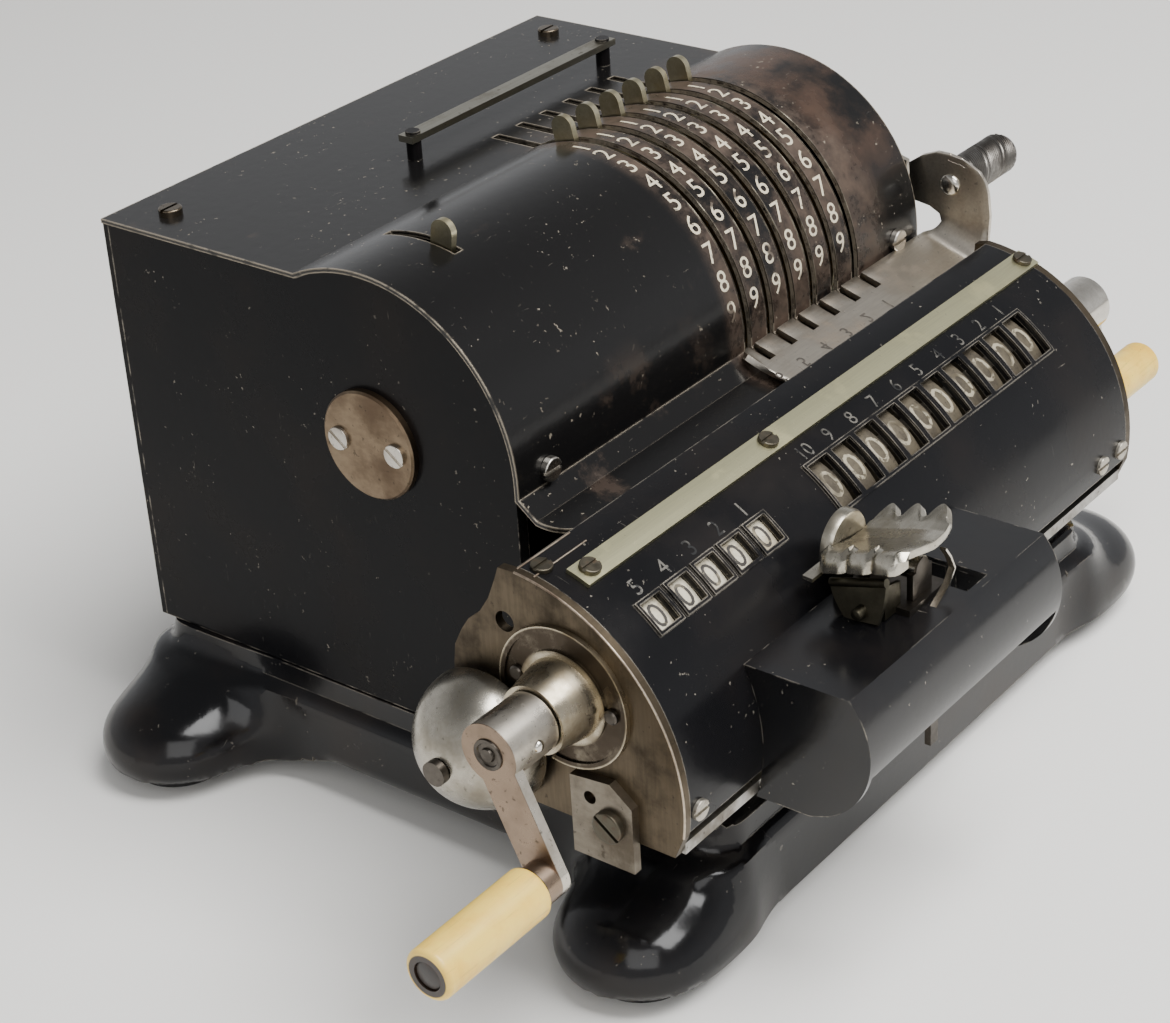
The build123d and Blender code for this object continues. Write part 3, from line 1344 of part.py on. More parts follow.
make_base()
make_pads()
make_side_plate("left_side_plate", -1)
make_side_plate("right_side_plate", 1)
make_drum_cover()
make_rear_panel()
make_frame_screws()
make_cap()
make_bushes()
make_rail()
make_posts()
make_inner_frame()
make_guide_rail()
make_drum_shaft()
make_pinwheels()
make_main_crank()
make_grip("main_grip", CRANK_FACE + GRIP_GAP, MAIN_GRIP_END, MAIN_GRIP_RADIUS, STUD_RADIUS, 0, -CRANK_RADIUS)
for number in range(1, LEVERS + 1):
    make_setting_lever(number)
make_count_lever()
make_comb()
make_knob()
make_transfer_gears()
make_carriage_cover()
make_end_plate("carriage_left_plate", CARRIAGE_LEFT, True)
make_end_plate("carriage_right_plate", CARRIAGE_RIGHT - END_PLATE, False)
make_collars()
make_strip()
make_carriage_screws()
make_bed()
make_stop_plate()
make_bell()
make_bell_post()
make_housing()
make_lever_bracket()
make_shift_lever()
make_release_tab()
counter_stud = make_register_crank(
    "counter_crank",
    LEFT_BOSS_END,
    COUNTER_HUB,
    COUNTER_HUB_END,
    COUNTER_BOSS_END,
    COUNTER_GRIP_END,
    MID_PLATE_X + FIXED,
    COUNTER_CRANK_ANGLE,
)
make_grip("counter_grip", COUNTER_BOSS_END - GRIP_GAP, COUNTER_GRIP_END, GRIP_RADIUS, SMALL_STUD, *counter_stud)
result_stud = make_register_crank(
    "result_crank",
    RIGHT_BOSS_END,
    RESULT_HUB,
    RESULT_HUB_END,
    RESULT_BOSS_END,
    RESULT_GRIP_END,
    MID_PLATE_X + END_PLATE - FIXED,
    RESULT_CRANK_ANGLE,
)
make_grip("result_grip", RESULT_BOSS_END + GRIP_GAP, RESULT_GRIP_END, GRIP_RADIUS, SMALL_STUD, *result_stud)
for number, column in enumerate(RESULT_COLUMNS, start=1):
    make_number_wheel(f"result_wheel_{number:02d}", column)
for number, column in enumerate(COUNTER_COLUMNS, start=1):
    make_number_wheel(f"counter_wheel_{number}", column)
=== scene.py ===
# %% [markdown]
# # A desk calculator with setting levers, dressed for its portrait
#
# The solid model already holds every plate, lever, wheel and crank at its real size. This lesson
# loads it as a fixed frame, points a camera at it, lights it softly, and then gives each surface
# its finish: black lacquer worn by hands, polished nickel, yellowed bone and stencilled digits.

# %% Load the frame
import json
from math import cos, pi, radians, sin, sqrt, tan

import bmesh
import bpy
import numpy as np
from mathutils import Matrix, Vector


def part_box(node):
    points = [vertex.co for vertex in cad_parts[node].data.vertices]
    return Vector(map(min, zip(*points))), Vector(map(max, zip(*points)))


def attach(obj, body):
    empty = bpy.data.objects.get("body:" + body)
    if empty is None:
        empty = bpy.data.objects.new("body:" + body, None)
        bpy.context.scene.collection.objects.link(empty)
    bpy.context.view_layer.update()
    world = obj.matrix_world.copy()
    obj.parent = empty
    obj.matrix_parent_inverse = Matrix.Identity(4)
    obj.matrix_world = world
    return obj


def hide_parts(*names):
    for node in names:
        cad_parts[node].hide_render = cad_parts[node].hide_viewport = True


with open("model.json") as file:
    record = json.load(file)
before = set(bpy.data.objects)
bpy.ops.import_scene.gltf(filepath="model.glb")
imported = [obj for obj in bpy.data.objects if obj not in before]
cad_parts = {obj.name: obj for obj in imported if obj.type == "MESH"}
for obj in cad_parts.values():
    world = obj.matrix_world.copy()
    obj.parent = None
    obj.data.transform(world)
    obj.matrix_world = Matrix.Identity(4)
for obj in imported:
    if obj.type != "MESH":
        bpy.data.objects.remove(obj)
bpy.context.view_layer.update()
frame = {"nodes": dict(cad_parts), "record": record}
cad_nodes = frame["nodes"]

# %% [markdown]
# ## Sizes shared by many pieces
#
# The drum's axis runs from side to side through the machine, so it is the natural place to measure
# from. The columns of levers and windows repeat every pitch. Blender works in metres here, while
# the sizes are in millimetres, so one short function converts a point measured from the drum's axis.

# %% The machine's own sizes
MM = 0.001
DRUM_Y, DRUM_Z = 21.25, 95.0
DRUM_AXIS = (0.0, 0.0)
WHEEL_AXIS = (-71.0, -20.5)
ARCH_AXIS = (-57.07, -37.27)
COVER_RADIUS = 38.3
ARCH_RADIUS = 40.36
PITCH = 8.65
FIRST_COLUMN = 4.8
SET_COLUMNS = [FIRST_COLUMN + PITCH * k for k in range(6)]
RESULT_COLUMNS = [48.05 - PITCH * k for k in range(10)]
COUNTER_COLUMNS = [-54.8 - PITCH * k for k in range(5)]


def at(x, y, z):
    """A point given in millimetres from the drum's axis, in the frame's metres."""
    return Vector((x * MM, (DRUM_Y + y) * MM, (DRUM_Z + z) * MM))


def around(axis, radius, x, angle):
    """A point on a cylinder along X; the angle runs from straight up towards the front."""
    return at(x, axis[0] - radius * sin(angle), axis[1] + radius * cos(angle))


def show(thing):
    """Put a new object into the scene and hand it back."""
    bpy.context.scene.collection.objects.link(thing)
    return thing


grip_low, grip_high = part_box("counter_grip")
GRIP_AXIS = (
    (grip_low[1] + grip_high[1]) / 2 / MM - DRUM_Y,
    (grip_low[2] + grip_high[2]) / 2 / MM - DRUM_Z,
)
print("set columns:", [round(x, 2) for x in SET_COLUMNS])

# %% [markdown]
# ## Camera
#
# The photograph looks down on the machine's front left corner through a rather long lens. A camera
# matrix has the image's right, up and back directions as its columns, so the view is set with three
# vectors and a place, and no rotation has to be guessed.

# %% Point the camera
PHOTO_WIDTH, FOCAL_PIXELS, SENSOR = 1170, 2628.65, 36.0
view_right = Vector((0.60656251, -0.79321344, -0.05379923))
view_down = Vector((-0.41633501, -0.25926077, -0.87146372))
view_ahead = Vector((0.6773087, 0.55099572, -0.48750039))
camera_data = bpy.data.cameras.new("photo_camera")
camera_data.sensor_width = SENSOR
camera_data.sensor_fit = "HORIZONTAL"
camera_data.lens = SENSOR * FOCAL_PIXELS / PHOTO_WIDTH
camera_data.clip_start = 0.01
camera = show(bpy.data.objects.new("photo_camera", camera_data))
turn = Matrix((view_right, -view_down, -view_ahead)).transposed()
camera.matrix_world = Matrix.Translation((-0.41945, -0.31359, 0.34305)) @ turn.to_4x4()
bpy.context.scene.camera = camera
print("lens mm:", round(camera_data.lens, 1))

# %% [markdown]
# ## Floor, backdrop and light
#
# Glossy black shows mostly what it reflects, so large soft lamps do more for it than strong ones.
# The floor is one wide sheet of pale paper. The world is pale near the horizon and darker overhead,
# like a room with a dark ceiling, and it is dimmer where it only lights the object.

# %% Build the stage
def mesh_object(name, points, faces):
    """A new mesh object at the origin, with its place in its points."""
    data = bpy.data.meshes.new(name)
    data.from_pydata([tuple(p) for p in points], [], faces)
    data.update()
    return show(bpy.data.objects.new(name, data))


FLOOR_HALF = 3
corners = [(-FLOOR_HALF, -FLOOR_HALF, 0), (FLOOR_HALF, -FLOOR_HALF, 0)]
corners += [(FLOOR_HALF, FLOOR_HALF, 0), (-FLOOR_HALF, FLOOR_HALF, 0)]
floor = mesh_object("floor", corners, [(0, 1, 2, 3)])
paper = bpy.data.materials.new("pale_paper")
paper.use_nodes = True
paper_shader = paper.node_tree.nodes["Principled BSDF"]
paper_shader.inputs["Base Color"].default_value = (0.88, 0.865, 0.83, 1)
paper_shader.inputs["Roughness"].default_value = 0.9
floor.data.materials.append(paper)


def feed(tree, socket, value):
    """Link a socket to another, or set its value."""
    if isinstance(value, bpy.types.NodeSocket):
        tree.links.new(value, socket)
    else:
        socket.default_value = value


def add_node(tree, kind, output, inputs=None, **settings):
    """Add a node, feed its inputs and hand back one of its outputs."""
    made = tree.nodes.new("ShaderNode" + kind)
    for name, value in settings.items():
        setattr(made, name, value)
    for socket, value in (inputs or {}).items():
        feed(tree, made.inputs[socket], value)
    return made.outputs[output]


world = bpy.data.worlds.new("studio")
bpy.context.scene.world = world
world.use_nodes = True
sky = world.node_tree
ray = sky.nodes.new("ShaderNodeLightPath").outputs
seen = add_node(sky, "Math", 0, {0: ray["Is Camera Ray"], 1: ray["Is Glossy Ray"]}, operation="MAXIMUM")
seen = add_node(sky, "Math", 0, {0: seen, 1: ray["Is Transmission Ray"]}, operation="MAXIMUM")
level = add_node(sky, "MapRange", "Result", {"Value": seen, "To Min": 0.55, "To Max": 0.85})
upward = add_node(sky, "SeparateXYZ", "Z", {0: add_node(sky, "TexCoord", "Generated")})
fade = {"Value": upward, "From Min": 0.25, "From Max": 0.8, "To Min": 1.0, "To Max": 0.28}
ceiling = add_node(sky, "MapRange", "Result", fade)
background = sky.nodes["Background"].inputs
feed(sky, background["Color"], (0.97, 0.98, 1.0, 1))
feed(sky, background["Strength"], add_node(sky, "Math", 0, {0: level, 1: ceiling}, operation="MULTIPLY"))



def soft_lamp(name, place, target, size, power):
    """A square area lamp at a place, turned towards a target."""
    data = bpy.data.lights.new(name, "AREA")
    data.shape = "SQUARE"
    data.size = size
    data.energy = power
    lamp = show(bpy.data.objects.new(name, data))
    lamp.location = place
    lamp.rotation_euler = (Vector(target) - Vector(place)).to_track_quat("-Z", "Y").to_euler()


soft_lamp("key_lamp", (0.12, -0.6, 1.25), (-0.02, -0.15, 0.0), 0.9, 35)
soft_lamp("fill_lamp", (-0.9, -0.7, 0.9), (0, 0, 0.05), 0.9, 7)
print("world nodes:", len(sky.nodes))

# %% [markdown]
# ## A short way to write finishes
#
# Every finish below is a small tree of nodes: noise for stains, stretched noise for scratches, and
# a comparison of rounded and true normals that finds edges, where lacquer wears off first. The
# class keeps the tree of one material, and each method adds one kind of node and returns its result.

# %% A finish and its nodes
class Finish:
    """One material in the making."""

    def __init__(self, name):
        self.material = bpy.data.materials.new(name)
        self.material.use_nodes = True
        self.tree = self.material.node_tree
        self.place = self.node("TexCoord", "Object")

    def node(self, kind, output, inputs=None, **settings):
        """A new node of this material, handed back as one of its outputs."""
        return add_node(self.tree, kind, output, inputs, **settings)

    def axis(self, letter):
        """One coordinate of the place on the object."""
        return self.node("SeparateXYZ", letter, {0: self.place})

    def scaled(self, stretch, turn=(0, 0, 0)):
        """The place on the object, turned and stretched."""
        return self.node("Mapping", "Vector", {"Vector": self.place, "Rotation": turn, "Scale": stretch})

    def noise(self, scale, detail=4.0, rough=0.55, where=None):
        """Cloudy noise from 0 to 1."""
        inputs = {"Vector": where or self.place, "Scale": scale, "Detail": detail, "Roughness": rough}
        return self.node("TexNoise", "Fac", inputs)

    def math(self, operation, a, b=0.0):
        """One arithmetic step."""
        return self.node("Math", 0, {0: a, 1: b}, operation=operation)

    def chain(self, operation, values):
        """The same arithmetic step along a row of values."""
        result = values[0]
        for value in values[1:]:
            result = self.math(operation, result, value)
        return result

    def times(self, *values):
        """The product of several values."""
        return self.chain("MULTIPLY", values)

    def plus(self, *values):
        """The sum of several values."""
        return self.chain("ADD", values)

    def minus(self, *values):
        """The first value less the others."""
        return self.chain("SUBTRACT", values)

    def most(self, *values):
        """The largest of several values."""
        return self.chain("MAXIMUM", values)

    def from_axis(self, centre):
        """The distance from an axis along X."""
        near = at(0, *centre)
        squares = []
        for letter, value in (("Y", near.y), ("Z", near.z)):
            away = self.minus(self.axis(letter), value)
            squares.append(self.times(away, away))
        return self.math("SQRT", self.plus(*squares))

    def span(self, value, low, high, to_low=0.0, to_high=1.0):
        """Stretch a range onto another, smoothly and with both ends held."""
        inputs = {"Value": value, "From Min": low, "From Max": high, "To Min": to_low, "To Max": to_high}
        return self.node("MapRange", "Result", inputs, interpolation_type="SMOOTHSTEP")

    def mix(self, share, a, b):
        """Blend from colour a to colour b."""
        a, b = ((*colour, 1) if isinstance(colour, tuple) else colour for colour in (a, b))
        return self.node("Mix", 2, {0: share, 6: a, 7: b}, data_type="RGBA")

    def edges(self, radius, low, high):
        """How near the surface is to an outer or inner edge, from 0 to 1."""
        rounded = self.node("Bevel", "Normal", {"Radius": radius}, samples=6)
        true = self.node("NewGeometry", "Normal")
        product = self.node("VectorMath", "Value", {0: rounded, 1: true}, operation="DOT_PRODUCT")
        return self.span(product, 1 - low, 1 - high)

    def bump(self, height, depth, after=None):
        """Raise the surface by a height pattern, in metres of depth."""
        inputs = {"Distance": depth, "Height": height}
        if after is not None:
            inputs["Normal"] = after
        return self.node("Bump", "Normal", inputs)

    def dress(self, colour, metallic, rough, normal, **steady):
        """Feed the shader and hand back the material."""
        shader = self.tree.nodes["Principled BSDF"]
        values = {"Base Color": colour, "Metallic": metallic, "Roughness": rough, "Normal": normal, **steady}
        for name, value in values.items():
            feed(self.tree, shader.inputs[name.replace("_", " ")], value)
        return self.material


print("finish tools ready")

# %% [markdown]
# ## Black lacquer
#
# The side plates, the housing and the carriage were dipped and baked. The film is almost black,
# slightly brown where it is thin, with fine dust scratches and bare steel on its sharpest edges.

# %% Black lacquer
BLACK_FILM = (0.0045, 0.0045, 0.0052)
BROWN_FILM = (0.034, 0.021, 0.013)
BARE_STEEL = (0.30, 0.27, 0.225)


def black_lacquer(name, shine, stain, scratch, level, edge=(0.03, 0.20), rub=(0.34, 0.56)):
    """Baked black lacquer with stains, hairline scratches and bare edges."""
    f = Finish(name)
    cloud = f.noise(38, 5)
    film = f.mix(f.span(cloud, 0.42, 0.78, 0, stain), BLACK_FILM, BROWN_FILM)
    long_lines = f.noise(1, 3, 0.6, f.scaled((2600, 120, 140), (0.4, 0.7, 0.3)))
    cross_lines = f.noise(1, 3, 0.6, f.scaled((160, 2300, 180), (0.2, -0.5, 0.9)))
    patch = f.span(f.noise(55, 3), 0.52, 0.70)
    lines = f.times(f.span(f.most(long_lines, cross_lines), 0.70, 0.76), patch)
    chips = f.times(f.span(f.noise(900, 2), 0.70, 0.73), f.span(f.noise(90, 2), 0.50, 0.62))
    worn = f.times(f.edges(0.0006, *edge), f.span(f.noise(160, 4), *rub))
    bare = f.most(f.times(lines, scratch), f.times(chips, scratch), worn)
    rough = f.most(f.span(cloud, 0.3, 0.8, shine, shine + 0.16), f.times(bare, 0.42))
    normal = f.bump(f.minus(1.0, bare), 0.00003, f.bump(f.noise(420, 2), 0.00002))
    colour = f.mix(bare, film, BARE_STEEL)
    return f.dress(colour, f.times(bare, 0.8), rough, normal, Specular_IOR_Level=level)


plate_lacquer = black_lacquer("plate_lacquer", 0.16, 0.15, 0.5, 0.08, rub=(0.42, 0.60))
carriage_lacquer = black_lacquer("carriage_lacquer", 0.2, 0.14, 0.7, 0.16)
housing_lacquer = black_lacquer("housing_lacquer", 0.14, 0.12, 0.8, 0.45, (0.04, 0.25), (0.50, 0.62))
cast_enamel = black_lacquer("cast_enamel", 0.1, 0.35, 0.35, 0.3)
print("lacquers:", plate_lacquer.name, carriage_lacquer.name, housing_lacquer.name)

# %% [markdown]
# ## The drum cover's worn lacquer
#
# Fingers have rubbed this cover for decades: the strips between the lever slots are brown and
# satin, the slots have thin bright lips, and the front is scratched and stained. Because every slot
# lies at a known place along X, the distance to the nearest slot comes from arithmetic on the
# place itself, and the wear follows the slots exactly.

# %% Worn lacquer
def worn_lacquer():
    """Lacquer rubbed through around the lever slots and scratched all over."""
    f = Finish("worn_lacquer")
    x, height = f.axis("X"), f.axis("Z")
    steps = f.math("DIVIDE", f.minus(x, FIRST_COLUMN * MM), PITCH * MM)
    to_slot = f.times(f.math("ABSOLUTE", f.minus(steps, f.math("ROUND", steps))), PITCH)
    front = f.span(f.axis("Y"), 0.050, 0.030)
    in_field = f.times(f.span(x, -0.004, 0.0015), f.span(x, 0.066, 0.054), front)
    at_slots = f.times(f.span(x, 0.0015, 0.0025), f.span(x, 0.0528, 0.0518))
    cloud = f.noise(60, 6, 0.65)
    fine = f.noise(420, 4, 0.7)
    rubbed = f.times(in_field, f.span(f.plus(cloud, f.times(fine, 0.35)), 0.50, 0.86))
    high_right = f.times(f.span(x, 0.050, 0.056), f.span(height, 0.108, 0.122), front)
    high_right = f.times(high_right, f.span(f.noise(48, 5, 0.6), 0.38, 0.66), 0.5)
    low_left = f.times(f.span(x, 0.004, -0.03), f.span(height, 0.112, 0.098))
    low_left = f.times(low_left, f.span(f.noise(52, 6, 0.7), 0.52, 0.66, 0, 0.45))
    brown = f.most(rubbed, high_right, f.span(cloud, 0.62, 0.80, 0, 0.5), low_left)
    film = f.mix(brown, (0.0055, 0.0052, 0.0052), (0.075, 0.052, 0.038))
    film = f.mix(high_right, film, (0.070, 0.036, 0.022))
    lip = f.times(f.span(to_slot, 1.75, 1.25), f.span(fine, 0.36, 0.58))
    lips = f.times(lip, at_slots, front, f.span(height, 0.062, 0.070), 0.75)
    lines = f.span(f.noise(1, 4, 0.65, f.scaled((190, 2400, 260), (0.5, 0.2, 0.35))), 0.69, 0.75)
    cross = f.span(f.noise(1, 4, 0.65, f.scaled((1900, 170, 300), (0.1, 0.6, 0.2))), 0.71, 0.77)
    scratch = f.times(f.most(lines, cross), f.span(f.noise(70, 4), 0.46, 0.62), 0.7)
    chips = f.times(f.span(f.noise(650, 3, 0.6), 0.66, 0.70), f.span(f.noise(75, 3), 0.47, 0.60), 0.6)
    rub = f.times(f.edges(0.0008, 0.02, 0.15), f.span(f.noise(220, 4), 0.30, 0.50))
    bare = f.most(scratch, chips, lips, rub)
    colour = f.mix(bare, film, (0.36, 0.31, 0.24))
    rough = f.most(f.span(brown, 0, 1, 0.20, 0.46), f.times(bare, 0.5))
    normal = f.bump(f.minus(1.0, bare), 0.00005, f.bump(f.noise(380, 3), 0.00003))
    return f.dress(colour, f.times(bare, 0.65), rough, normal, Specular_IOR_Level=0.26)


cover_lacquer = worn_lacquer()
print("cover:", cover_lacquer.name)

# %% [markdown]
# ## Metals
#
# Nickel plate is warm white and dulls in patches, brass shows through where it is rubbed. Rolled
# sheet has fine lines along its length. One function makes all of them from a base colour, a
# tarnish colour, the direction of the grain, where it dulls, how rough it is, and its pits.

# %% Nickel, steel, brass and bronze
def metal(name, clean, tarnish, grain, dull, rough, pits):
    """Plated or bare metal with tarnish, grain and small dark pits."""
    f = Finish(name)
    stain = f.span(f.noise(90, 5, 0.62), *dull)
    spots = f.times(f.span(f.noise(700, 3), 0.64, 0.72), pits)
    lines = f.noise(1, 3, 0.6, f.scaled(grain))
    hue = f.mix(stain, clean, tarnish)
    hue = f.mix(f.times(f.span(lines, 0.35, 0.65), 0.18), hue, tuple(0.55 * c for c in tarnish))
    colour = f.mix(spots, hue, (0.045, 0.035, 0.025))
    gloss = f.plus(f.span(stain, 0, 1, *rough), f.times(spots, 0.3), f.times(lines, 0.08))
    return f.dress(colour, 1.0, gloss, f.bump(f.minus(lines, spots), 0.000012))


EVEN, ALONG = (900, 900, 900), (60, 2200, 2200)
CAST, TURNED = (500, 500, 500), (900, 300, 900)
BRUSHED, COMBED = (400, 1500, 130), (150, 1500, 1500)
MILD, OLD = (0.4, 0.7), (0.35, 0.7)
METALS = {
    "nickel": ((0.56, 0.53, 0.46), (0.34, 0.30, 0.22), (200, 1500, 1500), (0.45, 0.75), (0.18, 0.42), 0.5),
    "strip_nickel": ((0.66, 0.63, 0.40), (0.44, 0.41, 0.24), ALONG, (0.5, 0.8), (0.3, 0.45), 0.35),
    "rail_nickel": ((0.30, 0.285, 0.23), (0.17, 0.15, 0.11), ALONG, (0.45, 0.75), (0.25, 0.4), 0.5),
    "bell_nickel": ((0.40, 0.375, 0.32), (0.25, 0.22, 0.17), CAST, (0.4, 0.75), (0.22, 0.34), 0.4),
    "bright_nickel": ((0.62, 0.59, 0.53), (0.42, 0.37, 0.29), CAST, (0.5, 0.85), (0.12, 0.26), 0.3),
    "warm_nickel": ((0.50, 0.47, 0.40), (0.25, 0.22, 0.165), (400, 900, 900), (0.4, 0.72), (0.2, 0.36), 0.5),
    "stop_bronze": ((0.20, 0.175, 0.14), (0.10, 0.082, 0.06), (500, 500, 900), MILD, (0.3, 0.45), 0.5),
    "tab_bronze": ((0.50, 0.46, 0.32), (0.30, 0.25, 0.14), EVEN, MILD, (0.26, 0.42), 0.4),
    "plate_bronze": ((0.105, 0.082, 0.055), (0.04, 0.031, 0.021), BRUSHED, (0.4, 0.75), (0.34, 0.52), 0.5),
    "olive_bronze": ((0.115, 0.105, 0.075), (0.045, 0.040, 0.028), (900, 400, 900), OLD, (0.3, 0.45), 0.4),
    "cap_metal": ((0.20, 0.15, 0.10), (0.11, 0.075, 0.048), (900, 500, 900), OLD, (0.28, 0.42), 0.5),
    "screw_steel": ((0.50, 0.48, 0.44), (0.22, 0.19, 0.15), (800, 800, 800), (0.45, 0.7), (0.2, 0.4), 0.5),
    "plain_steel": ((0.40, 0.39, 0.37), (0.18, 0.16, 0.13), TURNED, MILD, (0.3, 0.5), 0.5),
    "dark_steel": ((0.10, 0.088, 0.075), (0.04, 0.034, 0.028), EVEN, MILD, (0.3, 0.45), 0.4),
    "brass_works": ((0.55, 0.40, 0.17), (0.26, 0.17, 0.07), TURNED, MILD, (0.3, 0.5), 0.5),
    "rim_metal": ((0.40, 0.37, 0.30), (0.08, 0.07, 0.055), EVEN, (0.3, 0.55), (0.3, 0.5), 0.6),
    "edge_copper": ((0.50, 0.42, 0.33), (0.12, 0.085, 0.06), EVEN, MILD, (0.3, 0.5), 0.5),
    "lip_metal": ((0.30, 0.27, 0.21), (0.04, 0.033, 0.026), EVEN, (0.30, 0.52), (0.35, 0.5), 0.6),
    "comb_metal": ((0.60, 0.55, 0.47), (0.34, 0.27, 0.20), COMBED, (0.48, 0.78), (0.26, 0.42), 0.5),
    "knob_metal": ((0.17, 0.16, 0.145), (0.07, 0.062, 0.055), EVEN, (0.35, 0.65), (0.28, 0.42), 0.3),
}
metals = {name: metal(name, *values) for name, values in METALS.items()}
print("metals made:", len(metals))

# %% [markdown]
# ## Finishes that change with the place
#
# One node can hold bright and dark screws, and a collar can be dark inside its dished ring. The
# place on the object says where: a coordinate picks a height, and a distance from an axis a ring.

# %% Cranks, screws and the collar
def two_part_metal(name, first, second, axis, low, high):
    """Metal with one colour below a place along an axis and another above it."""
    f = Finish(name)
    hue = f.mix(f.span(f.axis(axis), low, high), first, second)
    cloud = f.noise(110, 5, 0.62)
    hue = f.mix(f.span(cloud, 0.42, 0.75, 0, 0.55), hue, (0.14, 0.105, 0.075))
    spots = f.span(f.noise(700, 3), 0.62, 0.72, 0, 0.6)
    colour = f.mix(spots, hue, (0.04, 0.032, 0.024))
    gloss = f.plus(f.span(cloud, 0.3, 0.75, 0.22, 0.42), f.times(spots, 0.3))
    return f.dress(colour, 1.0, gloss, f.bump(f.minus(cloud, spots), 0.00002))


def carriage_screw_finish():
    """Bright screws, but dark ones on top and on the stop plate."""
    f = Finish("carriage_screw_finish")
    top = f.span(f.axis("Z"), 0.0935, 0.0945)
    low_left = f.times(f.span(f.axis("X"), -0.1040, -0.1043), f.span(f.axis("Z"), 0.064, 0.062))
    rust = f.noise(500, 5, 0.65)
    hue = f.mix(f.most(top, low_left), (0.42, 0.39, 0.33), (0.085, 0.075, 0.055))
    colour = f.mix(f.span(rust, 0.5, 0.7, 0, 0.6), hue, (0.085, 0.050, 0.030))
    return f.dress(colour, 0.9, f.span(rust, 0.3, 0.7, 0.28, 0.5), f.bump(rust, 0.00004))


def collar_finish():
    """Warm nickel that is dark inside the dished ring."""
    f = Finish("collar_metal")
    radius = f.from_axis(WHEEL_AXIS)
    dish = f.times(f.span(radius, 0.0092, 0.0104), f.span(radius, 0.0149, 0.0145))
    cloud = f.noise(160, 5, 0.65)
    hue = f.mix(f.span(cloud, 0.4, 0.75), (0.42, 0.37, 0.28), (0.24, 0.19, 0.12))
    dark = f.times(dish, f.span(cloud, 0.15, 0.5, 0.55, 0.95))
    rings = f.noise(1, 3, 0.6, f.scaled((2500, 120, 120)))
    colour = f.mix(dark, hue, (0.038, 0.028, 0.020))
    return f.dress(colour, 1.0, f.span(cloud, 0.3, 0.7, 0.2, 0.4), f.bump(rings, 0.00002))


COPPER_FACE, PALE_SIDE = (0.25, 0.185, 0.135), (0.56, 0.52, 0.45)
LOW_SCREW, DECK_SCREW = (0.50, 0.47, 0.42), (0.13, 0.105, 0.075)
crank_metal = two_part_metal("crank_metal", COPPER_FACE, PALE_SIDE, "X", -0.12695, -0.1267)
deck_screws = two_part_metal("deck_screws", LOW_SCREW, DECK_SCREW, "Z", 0.120, 0.123)
print("finishes by place:", crank_metal.name, deck_screws.name)

# %% [markdown]
# ## Bone, rubber and dials
#
# The crank grips are bone that has yellowed unevenly, with faint lines along their length. The
# pads under the feet are dull rubber. The number wheels are celluloid or darkened brass rings.

# %% Bone, rubber, horn and dials
PALE_BONE, DEEP_BONE = (0.86, 0.60, 0.12), (0.74, 0.45, 0.055)


def bone(name, line_colour, plug_axis=None):
    """Yellowed bone with growth lines along X, and with pores or a dark plug in its bore."""
    f = Finish(name)
    lines = f.noise(1, 5, 0.6, f.scaled((70, 1300, 1300)))
    cloud = f.noise(120, 4)
    hue = f.mix(f.span(cloud, 0.35, 0.75), PALE_BONE, DEEP_BONE)
    hue = f.mix(f.span(lines, 0.55, 0.75, 0, 0.45), hue, line_colour)
    if plug_axis:
        grain = f.mix(f.noise(900, 4), (0.035, 0.020, 0.012), (0.009, 0.006, 0.005))
        colour = f.mix(f.span(f.from_axis(plug_axis), 0.0044, 0.0041), hue, grain)
    else:
        colour = f.mix(f.span(f.noise(1400, 2), 0.68, 0.74, 0, 0.6), hue, (0.12, 0.075, 0.035))
    gloss = f.span(cloud, 0.3, 0.7, 0.28, 0.42)
    inner = {"Subsurface_Weight": 0.12, "Subsurface_Scale": 0.002}
    return f.dress(colour, 0.0, gloss, f.bump(lines, 0.00002), **inner)


def matt(name, colour, deep, rough, scale=300, metallic=0.0):
    """A dull surface, such as rubber, dark horn or a dial's ground."""
    f = Finish(name)
    cloud = f.noise(scale, 5, 0.65)
    specks = f.span(f.noise(scale * 5, 2), 0.62, 0.72, 0, 0.6)
    hue = f.mix(f.span(cloud, 0.35, 0.7), colour, deep)
    hue = f.mix(specks, hue, tuple(0.4 * c for c in deep))
    return f.dress(hue, metallic, f.span(cloud, 0.3, 0.7, rough, rough + 0.15), f.bump(cloud, 0.00003))


bone_yellow = bone("bone_yellow", tuple(0.6 * c for c in DEEP_BONE))
counter_bone = bone("counter_bone", (0.40, 0.25, 0.07), GRIP_AXIS)
dark_horn = matt("dark_horn", (0.016, 0.013, 0.012), (0.035, 0.024, 0.018), 0.3)
rubber = matt("rubber", (0.02, 0.02, 0.02), (0.032, 0.03, 0.028), 0.75)
result_dial = matt("result_dial", (0.12, 0.10, 0.068), (0.05, 0.04, 0.027), 0.4, 260, 0.3)
counter_dial = matt("counter_dial", (0.62, 0.57, 0.44), (0.40, 0.34, 0.23), 0.45, 260)
print("soft finishes made")

